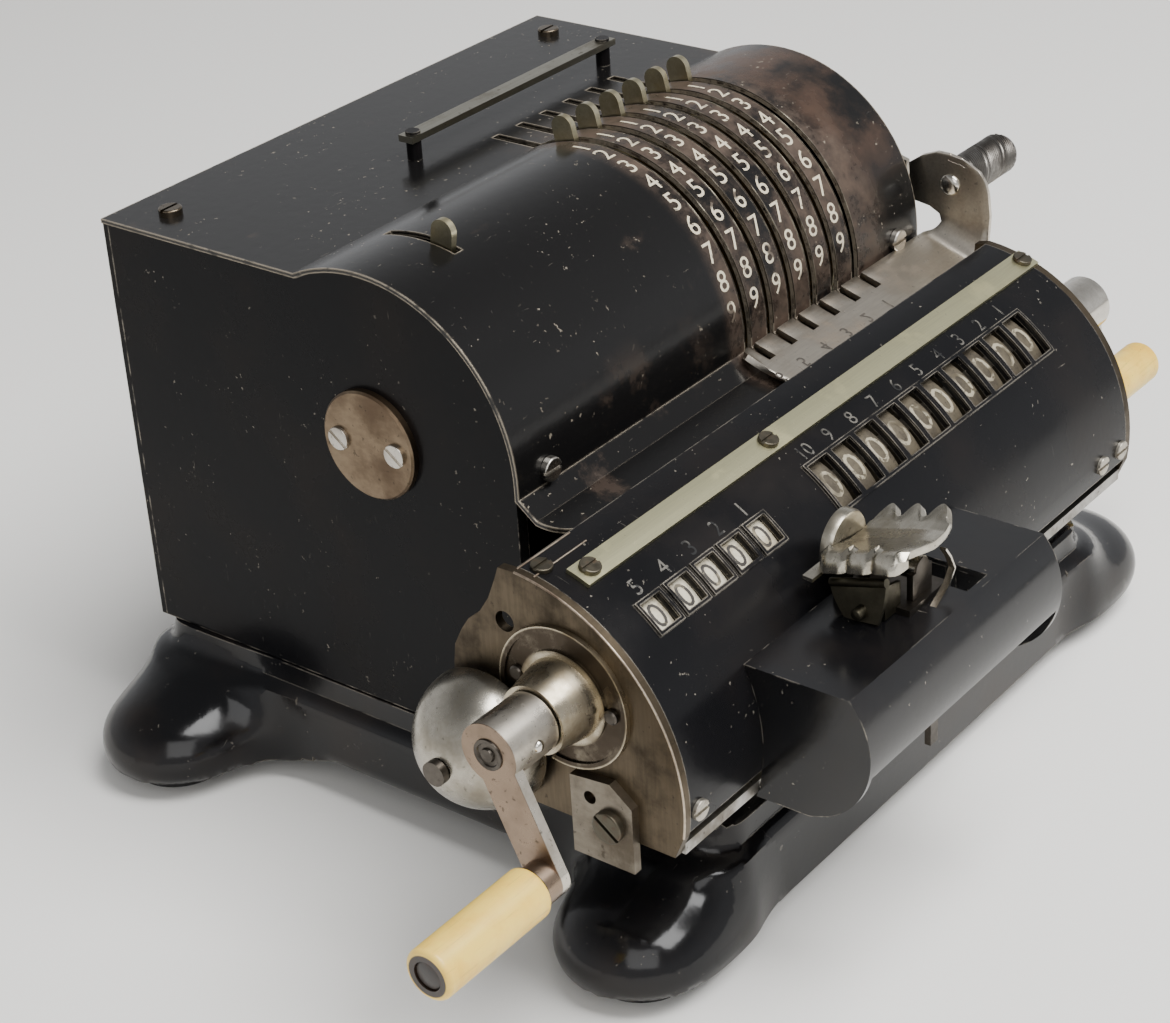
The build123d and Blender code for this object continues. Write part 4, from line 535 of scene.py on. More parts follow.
# %% Give every node of the frame its finish
SLOT_FINISH = {
    **metals,
    "black_lacquer": plate_lacquer,
    "worn_lacquer": cover_lacquer,
    "cast_enamel": cast_enamel,
    "rubber_pad": rubber,
    "bronze_plate": metals["plate_bronze"],
    "steel": metals["plain_steel"],
    "bone": bone_yellow,
    "dark_grip": dark_horn,
    "result_dial": result_dial,
    "counter_dial": counter_dial,
}
OWN_FINISH = {
    "carriage_cover": carriage_lacquer,
    "shift_housing": housing_lacquer,
    "cover_strip": metals["strip_nickel"],
    "decimal_rail": metals["rail_nickel"],
    "bell": metals["bell_nickel"],
    "stop_plate": metals["stop_bronze"],
    "axle_cap": metals["cap_metal"],
    "bell_post": metals["dark_steel"],
    "lever_bracket": metals["dark_steel"],
    "counter_crank": crank_metal,
    "counter_grip": counter_bone,
    "frame_screws": deck_screws,
    "carriage_screws": carriage_screw_finish(),
    "register_collars": collar_finish(),
}
for part in frame["record"]["subparts"]:
    name = part["node"]
    look = OWN_FINISH.get(name) or SLOT_FINISH[part["material_slot"]]
    if name.startswith(("setting_lever", "count_lever")):
        look = metals["tab_bronze"]
    cad_nodes[name].data.materials.clear()
    cad_nodes[name].data.materials.append(look)
print("dressed:", len(cad_nodes))

# %% [markdown]
# ## Cast base with flowing feet
#
# The real base is one casting: four round feet swell out of its corners with soft hollows between
# foot and wall. A distance field says this in a few lines, because two distances can be blended
# with a hollow between them. The surface is then found as a net: one point in each small cell that
# the surface crosses, slid onto it, and one face for each edge of the grid that it cuts.

# %% Describe the casting as a distance
WALL_HALF, WALL_TOP_HALF = 78.0, 75.3
BASE_MIDDLE = DRUM_Y - 6.0
FOOT_PLACES = ((88.0, -51.75), (86.5, 81.0))
FOOT_SIZE = (17.9, 17.9, 12.0)
FOOT_MIDDLE = 8.8
FOOT_BLEND = 17.0
BASE_LOW, BASE_HIGH = 5.0, 30.3
LEDGE_HEIGHTS, EXTRA_LENGTH, CORNER = (23.2, 25.0), 4.0, 8.0
SKIRT_LIFT, SKIRT_HALF, SKIRT_SLOPE = 4.5, 42.0, 16.0
HOLLOW_HALVES, HOLLOW_CORNER, HOLLOW_TOP = (72.0, 76.0), 3.0, 26.0


def column_distance(x, y, half_x, half_y, corner):
    """Distance from a tall block with round corners."""
    dx, dy = np.abs(x) - half_x + corner, np.abs(y - BASE_MIDDLE) - half_y + corner
    return np.hypot(np.maximum(dx, 0), np.maximum(dy, 0)) + np.minimum(np.maximum(dx, dy), 0) - corner


def foot_distance(x, y, z, foot_x, foot_y):
    """Distance from a flattened ball."""
    part = np.stack([(abs(x) - foot_x), (y - foot_y), (z - FOOT_MIDDLE)], -1) / np.array(FOOT_SIZE)
    reach = np.linalg.norm(part, axis=-1)
    slope = np.linalg.norm(part / np.array(FOOT_SIZE), axis=-1)
    return reach * (reach - 1) / np.maximum(slope, 1e-4)


def blend_distance(a, b, hollow):
    """Join two shapes with a hollow of the given size between them."""
    share = np.maximum(hollow - np.abs(a - b), 0) / hollow
    return np.minimum(a, b) - share * share * hollow / 4


def base_distance(place):
    """Distance from the whole casting in millimetres, negative inside."""
    x, y, z = place[..., 0], place[..., 1], place[..., 2]
    half = np.interp(z, LEDGE_HEIGHTS, [WALL_HALF, WALL_TOP_HALF])
    body = column_distance(x, y, half, half + EXTRA_LENGTH, CORNER)
    for foot_x, foot_y in FOOT_PLACES:
        body = blend_distance(body, foot_distance(x, y, z, foot_x, foot_y), FOOT_BLEND)
    rise = np.clip((SKIRT_HALF - np.abs(y - BASE_MIDDLE)) / SKIRT_SLOPE, 0, 1)
    lower_edge = BASE_LOW + SKIRT_LIFT * rise
    body = np.maximum(body, np.maximum(z - BASE_HIGH, lower_edge - z))
    hollow = np.maximum(column_distance(x, y, *HOLLOW_HALVES, HOLLOW_CORNER), z - HOLLOW_TOP)
    return np.maximum(body, -hollow)


print("distance at the middle of the top:", base_distance(np.array([[0.0, BASE_MIDDLE, 28.0]])))

# %% Draw a net over the surface
def surface_net(name, distance, low, high, step):
    """A mesh where the distance is zero, with an even net of faces."""
    axes = [np.arange(a, b + step, step) for a, b in zip(low, high)]
    grid = np.stack(np.meshgrid(*axes, indexing="ij"), -1)
    inside = distance(grid) < 0
    n = inside.shape
    ends = [(i, j, k) for i in (0, 1) for j in (0, 1) for k in (0, 1)]
    count = sum(inside[i:n[0] - 1 + i, j:n[1] - 1 + j, k:n[2] - 1 + k].astype(int) for i, j, k in ends)
    crossed = (count > 0) & (count < 8)
    number = np.full(crossed.shape, -1)
    number[crossed] = np.arange(crossed.sum())
    middle = grid[:-1, :-1, :-1][crossed] + step / 2
    points = middle.copy()
    for _ in range(6):
        slopes = [(distance(points + way) - distance(points - way)) / 0.2 for way in np.eye(3) * 0.1]
        slope = np.stack(slopes, -1)
        slide = (distance(points) / np.maximum((slope ** 2).sum(-1), 0.2))[:, None]
        points = middle + np.clip(points - slope * slide - middle, -0.8 * step, 0.8 * step)
    faces = []
    for axis in range(3):
        b, c = (axis + 1) % 3, (axis + 2) % 3
        cut = np.argwhere(np.diff(inside, axis=axis))
        cut = cut[(cut[:, b] > 0) & (cut[:, c] > 0) & (cut[:, b] < n[b] - 1) & (cut[:, c] < n[c] - 1)]
        ring = []
        for back_b, back_c in ((0, 0), (1, 0), (1, 1), (0, 1)):
            cell = cut.copy()
            cell[:, b] -= back_b
            cell[:, c] -= back_c
            ring.append(number[tuple(cell.T)])
        quads = np.stack(ring, -1)
        below = inside[tuple(cut.T)]
        faces += quads[below].tolist() + quads[~below][:, ::-1].tolist()
    return mesh_object(name, points * MM, faces)


def smooth_by_angle(piece, limit=35):
    """Shade smooth except across sharp edges."""
    piece.data.shade_smooth()
    piece.data.set_sharp_from_angle(angle=radians(limit))


def install(piece, body, look, slot_name, *nodes):
    """Give a piece its finish and its body, and hide the nodes that it replaces; slot_name is not used."""
    piece.data.materials.clear()
    piece.data.materials.append(look)
    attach(piece, body)
    if nodes:
        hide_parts(*nodes)
    print(piece.name, "faces:", len(piece.data.polygons))


base = surface_net("cast_base", base_distance, (-108.4, -71.6, 3.4), (108.4, 102.2, 32.2), 1.6)
smooth_by_angle(base, 40)
install(base, "frame", cast_enamel, "cast_enamel", "base_casting")

# %% [markdown]
# ## Digits
#
# The numbers were stencilled in cream on the cover and stamped elsewhere. A text object becomes a
# flat mesh, which is sliced into narrow bands so that it can bend, and every point is then carried
# onto the curved surface by its arc length and angle.

# %% Cut and bend digits
def evaluated_mesh(piece):
    """The mesh of an object with its modifiers and curves worked out."""
    bpy.context.view_layer.update()
    return bpy.data.meshes.new_from_object(piece.evaluated_get(bpy.context.evaluated_depsgraph_get()))


def runs_anticlockwise(points, face):
    """Whether a flat face runs anticlockwise."""
    area = 0.0
    for a, b in zip(face, face[1:] + face[:1]):
        area += points[a][0] * points[b][1] - points[b][0] * points[a][1]
    return area > 0


def flat_text(words, height):
    """Flat text centred on its middle, sliced so that it can bend; points in millimetres."""
    curve = bpy.data.curves.new("letters", "FONT")
    curve.body = words
    curve.align_x = "CENTER"
    curve.align_y = "CENTER"
    curve.size = height / 0.7
    curve.resolution_u = 3
    holder = show(bpy.data.objects.new("letters", curve))
    flat = evaluated_mesh(holder)
    work = bmesh.new()
    work.from_mesh(flat)
    low, high = min(v.co.y for v in work.verts), max(v.co.y for v in work.verts)
    for k in range(1, 8):
        whole = work.verts[:] + work.edges[:] + work.faces[:]
        cut = (0, low + (high - low) * k / 8, 0)
        bmesh.ops.bisect_plane(work, geom=whole, plane_co=cut, plane_no=(0, 1, 0))
    points = [(v.co.x, v.co.y - (low + high) / 2) for v in work.verts]
    faces = [tuple(v.index for v in f.verts) for f in work.faces if f.calc_area() > 1e-9]
    work.free()
    bpy.data.objects.remove(holder)
    bpy.data.curves.remove(curve)
    bpy.data.meshes.remove(flat)
    return points, [f if runs_anticlockwise(points, f) else f[::-1] for f in faces]


def on_cylinder(axis, radius, x, angle):
    """A rule that carries a flat point onto a cylinder along X."""
    return lambda u, v: around(axis, radius, x + u, angle - v / radius)


cut_texts = {}


def write(name, marks):
    """Join many texts, each with its rule of placing, into one mesh."""
    points, faces = [], []
    for words, height, carry in marks:
        if (words, height) not in cut_texts:
            cut_texts[words, height] = flat_text(words, height)
        flat_points, flat_faces = cut_texts[words, height]
        start = len(points)
        points += [carry(u, v) for u, v in flat_points]
        faces += [tuple(start + i for i in face) for face in flat_faces]
    return mesh_object(name, points, faces)


def paint(name, colour, under, worn_low, worn_high):
    """Paint that has partly rubbed off and shows what lies under it."""
    f = Finish(name)
    worn = f.span(f.most(f.noise(900, 3), f.noise(150, 2)), worn_low, worn_high)
    return f.dress(f.mix(worn, colour, under), 0.0, f.span(worn, 0, 1, 0.5, 0.3), f.bump(worn, 0.00002))


cream_paint = paint("cream_paint", (0.60, 0.53, 0.39), (0.09, 0.070, 0.052), 0.59, 0.70)
faint_paint = paint("faint_paint", (0.10, 0.092, 0.078), (0.008, 0.008, 0.008), 0.47, 0.62)
stamp_shade = paint("stamp_shade", (0.05, 0.042, 0.034), (0.16, 0.14, 0.11), 0.58, 0.75)
dial_pale = paint("dial_pale", (0.34, 0.30, 0.215), (0.09, 0.075, 0.05), 0.52, 0.66)
dial_black = paint("dial_black", (0.035, 0.03, 0.025), (0.36, 0.31, 0.21), 0.60, 0.72)

SET_ANGLES = [-2, 7, 17, 27, 36.5, 46.5, 57, 67, 77.5]
marks = []
for column in SET_COLUMNS:
    for digit, angle in enumerate(SET_ANGLES, start=1):
        rule = on_cylinder(DRUM_AXIS, COVER_RADIUS + 0.06, column - 4.5, radians(angle))
        marks.append((str(digit), 4.8, rule))
install(write("cover_digits", marks), "frame", cream_paint, "worn_lacquer")

marks = []
for columns, height, angle in ((RESULT_COLUMNS, 3.4, 27.2), (COUNTER_COLUMNS, 3.6, 30.0)):
    for number, column in enumerate(columns, start=1):
        rule = on_cylinder(ARCH_AXIS, ARCH_RADIUS + 0.05, column, radians(angle))
        marks.append((str(number), height, rule))
install(write("window_numbers", marks), "carriage", faint_paint, "black_lacquer")

# %% [markdown]
# ## Number wheels
#
# Each wheel turns by itself, so its band of ten digits is a mesh of its own that rides on its body.
# The wheels rest with the nought in the middle of the window. The lathe turns a profile of places
# and radii around an axis along X, and it serves for every turned part that follows.

# %% A lathe and a way to join meshes
def face_outwards(piece):
    """Turn all faces outwards and shade by angle."""
    work = bmesh.new()
    work.from_mesh(piece.data)
    bmesh.ops.recalc_face_normals(work, faces=work.faces)
    work.to_mesh(piece.data)
    work.free()
    smooth_by_angle(piece)


def tube(name, rings):
    """A closed skin over rings of points, with a fan of faces on each end."""
    sides = len(rings[0])
    points = [p for ring in rings for p in ring]
    end = len(points) - sides
    points += [sum(ring, Vector((0, 0, 0))) / sides for ring in (rings[0], rings[-1])]
    faces = []
    for k in range(sides):
        after = (k + 1) % sides
        for a in range(0, end, sides):
            faces.append((a + k, a + after, a + after + sides, a + k + sides))
        faces.append((after, k, len(points) - 2))
        faces.append((end + k, end + after, len(points) - 1))
    made = mesh_object(name, points, faces)
    face_outwards(made)
    return made


def lathe(name, profile, centre, sides=64):
    """Turn a profile of (x, radius) pairs around an axis along X."""
    turns = [-2 * pi * k / sides for k in range(sides)]
    return tube(name, [[around(centre, radius, x, angle) for angle in turns] for x, radius in profile])


def join(name, *objects):
    """Merge several meshes at the origin into one piece."""
    work = bmesh.new()
    for piece in objects:
        work.from_mesh(piece.data)
    data = bpy.data.meshes.new(name)
    work.to_mesh(data)
    work.free()
    for piece in objects:
        bpy.data.objects.remove(piece)
    made = show(bpy.data.objects.new(name, data))
    smooth_by_angle(made)
    return made


# %% Turn the bands and write their digits
WINDOW_TURN = radians(38.9)
BAND = [(-3.1, 15.8), (-3.1, 16.95), (-2.95, 17.1), (2.95, 17.1), (3.1, 16.95), (3.1, 15.8)]
DIGIT_RADIUS = 17.15


def band_and_digits(name, column, ground, ink, slot_name, height):
    """A band around one wheel, with ten digits; the wheel's body has the same name."""
    ring = lathe(f"{name}_band", [(column + x, radius) for x, radius in BAND], WHEEL_AXIS, 80)
    install(ring, name, ground, slot_name)
    digits = []
    for digit in range(10):
        rule = on_cylinder(WHEEL_AXIS, DIGIT_RADIUS, column + 0.5, WINDOW_TURN + digit * pi / 5)
        digits.append((str(digit), height, rule))
    install(write(f"{name}_digits", digits), name, ink, slot_name)


for number, column in enumerate(RESULT_COLUMNS, start=1):
    band_and_digits(f"result_{number:02d}", column, result_dial, dial_pale, "result_dial", 6.6)
for number, column in enumerate(COUNTER_COLUMNS, start=1):
    band_and_digits(f"counter_{number}", column, counter_dial, dial_black, "counter_dial", 5.2)

# %% [markdown]
# ## Thin rims and wires with Geometry Nodes
#
# Every window has a thin folded rim, and the slots of the cover have a burred lip. All of these
# are a round wire laid along a line, so one node tree serves them all: it turns the edges of a
# mesh into curves, sweeps a circle of the given radius along them and sets the material.

# %% A node tree that lays wire along edges
def wire_tree():
    """Edges in, round wire out."""
    tree = bpy.data.node_groups.new("wire_along_edges", "GeometryNodeTree")
    kinds = {"Geometry": "Geometry", "Wire Radius": "Float", "Sides": "Int", "Material": "Material"}
    for name, kind in kinds.items():
        tree.interface.new_socket(name, in_out="INPUT", socket_type="NodeSocket" + kind)
    tree.interface.new_socket("Geometry", in_out="OUTPUT", socket_type="NodeSocketGeometry")
    start, end = tree.nodes.new("NodeGroupInput"), tree.nodes.new("NodeGroupOutput")
    to_curve = tree.nodes.new("GeometryNodeMeshToCurve")
    circle = tree.nodes.new("GeometryNodeCurvePrimitiveCircle")
    sweep = tree.nodes.new("GeometryNodeCurveToMesh")
    sweep.inputs["Fill Caps"].default_value = True
    realize = tree.nodes.new("GeometryNodeRealizeInstances")
    paint_it = tree.nodes.new("GeometryNodeSetMaterial")
    joined = (
        (start, "Geometry", to_curve, "Mesh"),
        (start, "Wire Radius", circle, "Radius"),
        (start, "Sides", circle, "Resolution"),
        (to_curve, "Curve", sweep, "Curve"),
        (circle, "Curve", sweep, "Profile Curve"),
        (sweep, "Mesh", realize, "Geometry"),
        (realize, "Geometry", paint_it, "Geometry"),
        (start, "Material", paint_it, "Material"),
        (paint_it, "Geometry", end, "Geometry"),
    )
    for source, output, target, socket in joined:
        tree.links.new(source.outputs[output], target.inputs[socket])
    return tree


wire_nodes = wire_tree()


def lay_wire(name, lines, radius_mm, look, sides=6, closed=False):
    """Sweep a wire along lines, each a list of points."""
    points, edges = [], []
    for line in lines:
        start = len(points)
        points += [tuple(p) for p in line]
        edges += [(start + i, start + i + 1) for i in range(len(line) - 1)]
        if closed:
            edges.append((start + len(line) - 1, start))
    data = bpy.data.meshes.new(name + "_lines")
    data.from_pydata(points, edges, [])
    holder = show(bpy.data.objects.new(name + "_lines", data))
    modifier = holder.modifiers.new("wire", "NODES")
    modifier.node_group = wire_nodes
    values = {"Wire Radius": radius_mm * MM, "Sides": sides, "Material": look}
    for item in wire_nodes.interface.items_tree:
        if item.in_out == "INPUT" and item.name in values:
            modifier[item.identifier] = values[item.name]
    swept = evaluated_mesh(holder)
    bpy.data.objects.remove(holder)
    swept.shade_smooth()
    return show(bpy.data.objects.new(name, swept))


# %% Rims, lips and bright edges
def arch_line(places, angles, lift):
    """Points just above the carriage's arch, for every place along X and every angle in degrees."""
    return [around(ARCH_AXIS, ARCH_RADIUS + lift, x, radians(a)) for x in places for a in angles]


def window_line(middle, half, opening, closing):
    """The outline of one window on the arch."""
    down = [opening + (closing - opening) * k / 10 for k in range(11)]
    return arch_line([middle - half], down[::-1], 0.1) + arch_line([middle + half], down, 0.1)


rim_metal, edge_copper, lip_metal = metals["rim_metal"], metals["edge_copper"], metals["lip_metal"]
RESULT_WINDOW, COUNTER_WINDOW = (3.62, 31.5, 47.2), (3.12, 34.7, 43.7)
lines = [window_line(x, *RESULT_WINDOW) for x in RESULT_COLUMNS]
lines += [window_line(x, *COUNTER_WINDOW) for x in COUNTER_COLUMNS]
rims = lay_wire("window_rims", lines, 0.17, rim_metal, closed=True)
install(rims, "carriage", rim_metal, "black_lacquer")
lines = [arch_line([-104.2], range(5, 99, 3), 0.05)]
lines += [arch_line(range(-103, -85, 4), [angle], -0.02) for angle in (4.6, 10.2)]
install(lay_wire("worn_edges", lines, 0.24, edge_copper), "carriage", edge_copper, "black_lacquer")

SLOT_HALF = 1.32
lines = []
for column in SET_COLUMNS:
    for x in (column - SLOT_HALF, column + SLOT_HALF):
        lines.append([around(DRUM_AXIS, COVER_RADIUS - 0.02, x, radians(a)) for a in range(-24, 93, 3)])
install(lay_wire("slot_lips", lines, 0.16, lip_metal, 5), "frame", lip_metal, "worn_lacquer")

# %% [markdown]
# ## Bent sheet pieces
#
# The comb, the shift lever, the thumb tab and the bracket are all bent sheet. A grid of points is
# placed by a rule, some cells may be left out, and Solidify and Bevel give the sheet its thickness
# and a bright rounded edge.

# %% A helper for bent sheet
def sheet_piece(name, rows, thick_mm, skip=(), bevel_mm=0.0):
    """A sheet from rows of points, with thickness towards its under side."""
    across = len(rows[0])
    faces = []
    for j in range(len(rows) - 1):
        for i in range(across - 1):
            if (j, i) not in skip:
                a = j * across + i
                faces.append((a, a + 1, a + across + 1, a + across))
    piece = mesh_object(name, [p for row in rows for p in row], faces)
    solid = piece.modifiers.new("thickness", "SOLIDIFY")
    solid.thickness = thick_mm * MM
    solid.offset = -1
    if bevel_mm:
        rounding = piece.modifiers.new("rounding", "BEVEL")
        rounding.width = bevel_mm * MM
        rounding.segments = 2
        rounding.limit_method = "ANGLE"
        rounding.angle_limit = radians(50)
    done = evaluated_mesh(piece)
    piece.modifiers.clear()
    piece.data = done
    smooth_by_angle(piece, 50)
    return piece


def spread(low, high, count):
    """Evenly spaced values with both ends."""
    return [low + (high - low) * k / (count - 1) for k in range(count)]


def along(stations, value):
    """Read a value off straight lines between stations of (place, value)."""
    return float(np.interp(value, [s[0] for s in stations], [s[1] for s in stations]))


# %% Bend the comb
COMB_REAR = -39.2
COMB_TOP_REAR, COMB_SLOPE, COMB_SHEET = -1.0, 0.30, 1.4
BEND_START, BEND_RADIUS = 74.6, 4.2
NOTCH_HALF, NOTCH_CELLS = 1.25, 3
ARM_REAR = [(-5, -39.2), (-3, -39.6), (-1, -41.6), (1.5, -42.9), (3.4, -42.2), (4.8, -39.5)]
ARM_REAR += [(5.6, -34.2), (14.6, -33.9), (17.0, -37.3), (18.7, -41.7)]
ARM_FRONT = [(-5, -53.3), (-2.4, -53.6), (0.2, -55.3), (5.3, -55.7), (12.6, -54.9), (16.0, -52.6)]
ARM_FRONT += [(18.1, -48.0), (18.75, -42.6)]
ARM_STEPS = (3.4, 4.1, 4.8, 5.6, 8, 11, 13.4, 14.6, 15.8, 17.0, 17.9, 18.5)
SHARES = [0, 0.13, 0.26, 0.39, 0.5, 0.62, 0.74, 0.86, 1.0]

notch_edges = [column + side for column in SET_COLUMNS for side in (-NOTCH_HALF, NOTCH_HALF)]
bar_stations = sorted([0.5, 0.9, 1.6, 2.6] + notch_edges + spread(52.0, BEND_START, 12))


def comb_row(x_start, lift, height, fade):
    """Points from the rear edge to the rolled front edge; fade goes from the bar to the arm."""
    rear, front = along(ARM_REAR, height), along(ARM_FRONT, height)
    row = []
    for share in SHARES:
        y = rear + (front - rear) * share
        row.append((x_start, y, lift - COMB_SLOPE * (COMB_REAR - y) * (1 - fade)))
    for out, down in ((0.75, 0.35), (1.2, 1.1), (1.3, 2.9)):
        keep = 1 - 0.93 * fade
        slope = -COMB_SLOPE * (COMB_REAR - front) * (1 - fade)
        row.append((x_start + 0.3 * fade * down, front - out * keep, lift + slope - down * keep))
    return row


rows = []
round_centre = COMB_REAR - 7.5
for x in bar_stations:
    row = comb_row(x, COMB_TOP_REAR, -5, 0)
    if x < 3:
        pull = 0.72 + 0.28 * sqrt(max(0.0, 1 - ((3 - x) / 2.5) ** 2))
        row = [(px, round_centre + (py - round_centre) * pull, pz) for px, py, pz in row]
    rows.append(row)
for turn_here in spread(0, pi / 2, 10)[1:]:
    height = COMB_TOP_REAR + BEND_RADIUS * (1 - cos(turn_here))
    x = BEND_START + BEND_RADIUS * sin(turn_here)
    rows.append(comb_row(x, height, height - 4.0 * (1 - sin(turn_here)), sin(turn_here) ** 2))
for height in ARM_STEPS:
    rows.append(comb_row(BEND_START + BEND_RADIUS, height, height, 1.0))
firsts = [bar_stations.index(column - NOTCH_HALF) for column in SET_COLUMNS]
skip = {(first, i) for first in firsts for i in range(NOTCH_CELLS)}
comb_sheet = sheet_piece("comb_sheet", [[at(*p) for p in row] for row in rows], COMB_SHEET, skip, 0.22)

ROOT_X, ROOT_RADII = 78.85, (13.1, 19.1)
turns = [-a for a in spread(radians(-52), radians(232), 40)]
root_rows = [[around(DRUM_AXIS, radius, ROOT_X, a) for radius in ROOT_RADII] for a in turns]
root = sheet_piece("comb_root", root_rows, COMB_SHEET)
BRIDGE = [(-33.2, 5.6, -33.2, 14.8), (-27.0, 2.0, -27.0, 16.6), (-20.0, -3.0, -20.0, 18.0)]
BRIDGE += [(-12.9, 2.0, -12.0, 14.9)]
bridge_rows = [[at(78.86, y, z), at(78.86, top_y, top_z)] for y, z, top_y, top_z in BRIDGE]
bridge = sheet_piece("comb_bridge", bridge_rows, 1.36)
comb = join("comb_with_arm", comb_sheet, root, bridge)
install(comb, "comb", metals["comb_metal"], "nickel", "clearing_comb")


def on_comb(x):
    """A rule that lays a flat point on the comb's sloping bar."""
    def carry(u, v):
        y = -49.8 - v
        return at(x + u, y, COMB_TOP_REAR - COMB_SLOPE * (COMB_REAR - y) + 0.06)
    return carry


marks = [(str(6 - k), 3.1, on_comb(column - 4.3)) for k, column in enumerate(SET_COLUMNS)]
install(write("comb_digits", marks), "comb", stamp_shade, "nickel")

# %% [markdown]
# ## The comb's knob
#
# The knob is turned with fine, steeply twisted ridges so that a thumb can't slip. A plain core is
# lathed, and the same wire tree lays the helical ridges around it.

# %% Turn the knob
KNOB_AXIS = (-45.0, 11.2)
KNOB_RADIUS, KNOB_START, KNOB_LENGTH = 4.6, 81.0, 20.4
RIDGES, RIDGE_STEPS, RIDGE_TWIST = 20, 96, 9.0
core_line = [(80.35, 3.2), (80.6, 4.4), (81.5, KNOB_RADIUS), (101.2, KNOB_RADIUS), (102.6, 4.3)]
core_line += [(103.6, 3.5), (104.2, 2.3), (104.4, 0.9)]
core = lathe("core", core_line, KNOB_AXIS)
ridge_lines = []
for ridge in range(RIDGES):
    line = []
    for share in spread(0, 1, RIDGE_STEPS + 1):
        angle = -2 * pi * ridge / RIDGES - RIDGE_TWIST * share
        line.append(around(KNOB_AXIS, KNOB_RADIUS, KNOB_START + KNOB_LENGTH * share, angle))
    ridge_lines.append(line)
ridges = lay_wire("ridges", ridge_lines, 0.34, metals["knob_metal"])
rivet_line = [(77.6, 1.0), (77.8, 1.9), (78.2, 2.5), (78.7, 2.7), (80.4, 2.7)]
rivet = lathe("comb_rivet", rivet_line, KNOB_AXIS, 32)
install(join("comb_knob_ridged", core, ridges), "comb", metals["knob_metal"], "nickel", "comb_knob")
install(rivet, "comb", metals["bright_nickel"], "nickel")

# %% [markdown]
# ## Shift lever
#
# The shift lever is a rocking thumb piece. Its near end turns down into three short lips and its far
# end turns up into three round humps, and its front edge bulges. It lies tilted, its front higher.

# %% Bend the saddle
SADDLE_MIDDLE, SADDLE_HALF = -104.3, 8.9
SADDLE_START, SADDLE_LENGTH = -54.7, 21.1
SADDLE_TILT = radians(16)
NEAR_SHARE, FAR_SHARE = 0.11, 0.12
SADDLE_LINE = [(-54.7, -8.2), (-54.5, -6.5), (-53.6, -5.6), (-50, -6.2), (-44, -7.5), (-39, -7.6)]
SADDLE_LINE += [(-36, -6.9), (-33.6, -6.0)]
SLEEVE_X, SLEEVE_Z, SLEEVE_RADIUS = -40.5, -12.6, 2.6

rows = []
for across in spread(-1, 1, 61):
    hump = abs(sin(1.5 * pi * (across + 1)))
    gap = 1 - min(1.0, 1.5 * hump)
    front_bulge = max(0.0, -across - 0.55) / 0.45
    row = []
    for share in spread(0, 1, 41):
        x = SADDLE_START + SADDLE_LENGTH * share
        near = max(0.0, 1 - share / NEAR_SHARE)
        far = max(0.0, (share - 1 + FAR_SHARE) / FAR_SHARE)
        z = along(SADDLE_LINE, x) + gap * 1.5 * near + 1.4 * far ** 1.5 * hump - 0.5 * front_bulge ** 2
        x += gap * 2.2 * near + (3.0 * hump - 1.5) * far
        y = SADDLE_HALF * across - 1.5 * sin(pi * share) * max(0.0, -across) ** 3
        row.append(at(x, SADDLE_MIDDLE + y * cos(SADDLE_TILT), z - y * sin(SADDLE_TILT)))
    rows.append(row)
saddle = sheet_piece("saddle", [row[::-1] for row in rows], 1.5, bevel_mm=0.3)
sleeve_rings = []
for y in (-109.3, -98.7):
    ring = []
    for k in range(24):
        angle = 2 * pi * k / 24
        ring.append(at(SLEEVE_X + SLEEVE_RADIUS * sin(angle), y, SLEEVE_Z + SLEEVE_RADIUS * cos(angle)))
    sleeve_rings.append(ring)
sleeve = tube("sleeve", sleeve_rings)
stem = lathe("stem", [(-41.8, 0.2), (-41.8, 2.2), (-39.2, 2.2), (-39.2, 0.2)], (-104.0, -9.6), 24)
shift_saddle = join("shift_saddle", saddle, sleeve, stem)
install(shift_saddle, "shift_rocker", metals["warm_nickel"], "nickel", "shift_lever")

RIBBON = [(-38.3, -8.5), (-36.4, -11.0), (-34.7, -14.3), (-36.8, -17.0), (-41.8, -19.8)]
ribbon = sheet_piece("lever_ribbon", [[at(x, -113.4, z), at(x, -112.0, z)] for x, z in RIBBON], 0.45)
install(ribbon, "shift_rocker", metals["bright_nickel"], "nickel")

# %% Bend the thumb tab
TAB_MIDDLE, TAB_HALF, TAB_FOOT, TAB_TOP, TAB_ROUND = -44.4, 6.7, -11.0, -2.6, 6.6
TAB_WALL = [(1, -92.9, 0), (1, -94.6, 0), (0.94, -95.3, 0.3), (0.80, -95.4, 0.9)]
TAB_FLOOR = [(0.40, -95.1, 0.55), (0, -95.0, 0.3)]
outline = [(TAB_HALF * cos(a), TAB_TOP - TAB_ROUND + TAB_ROUND * sin(a)) for a in spread(pi, 0, 25)]
outline = [(-TAB_HALF, TAB_FOOT)] + outline + [(TAB_HALF, TAB_FOOT)]
rows = [[at(TAB_MIDDLE + u * wide, y, z - drop) for u, z in outline] for wide, y, drop in TAB_WALL]
for wide, y, rise in TAB_FLOOR:
    rows.append([at(TAB_MIDDLE + u * wide, y, TAB_FOOT + (z - TAB_FOOT) * rise) for u, z in outline])
tab = sheet_piece("thumb_tab", [row[::-1] for row in rows], 0.8)
toe_rows = [[at(x, -92.9, -11.0), at(x, -95.2, -11.2)] for x in (-57.2, -54.0, -50.0)]
toe = sheet_piece("toe", toe_rows, 0.8)
leg_rows = [[at(x, -93.2, -16.8), at(x, -93.2, -10.4)] for x in (-46.4, TAB_MIDDLE, -42.4)]
leg = sheet_piece("leg", leg_rows, 1.0)
install(join("thumb_tab_cup", tab, toe, leg), "release", metals["warm_nickel"], "nickel", "release_tab")

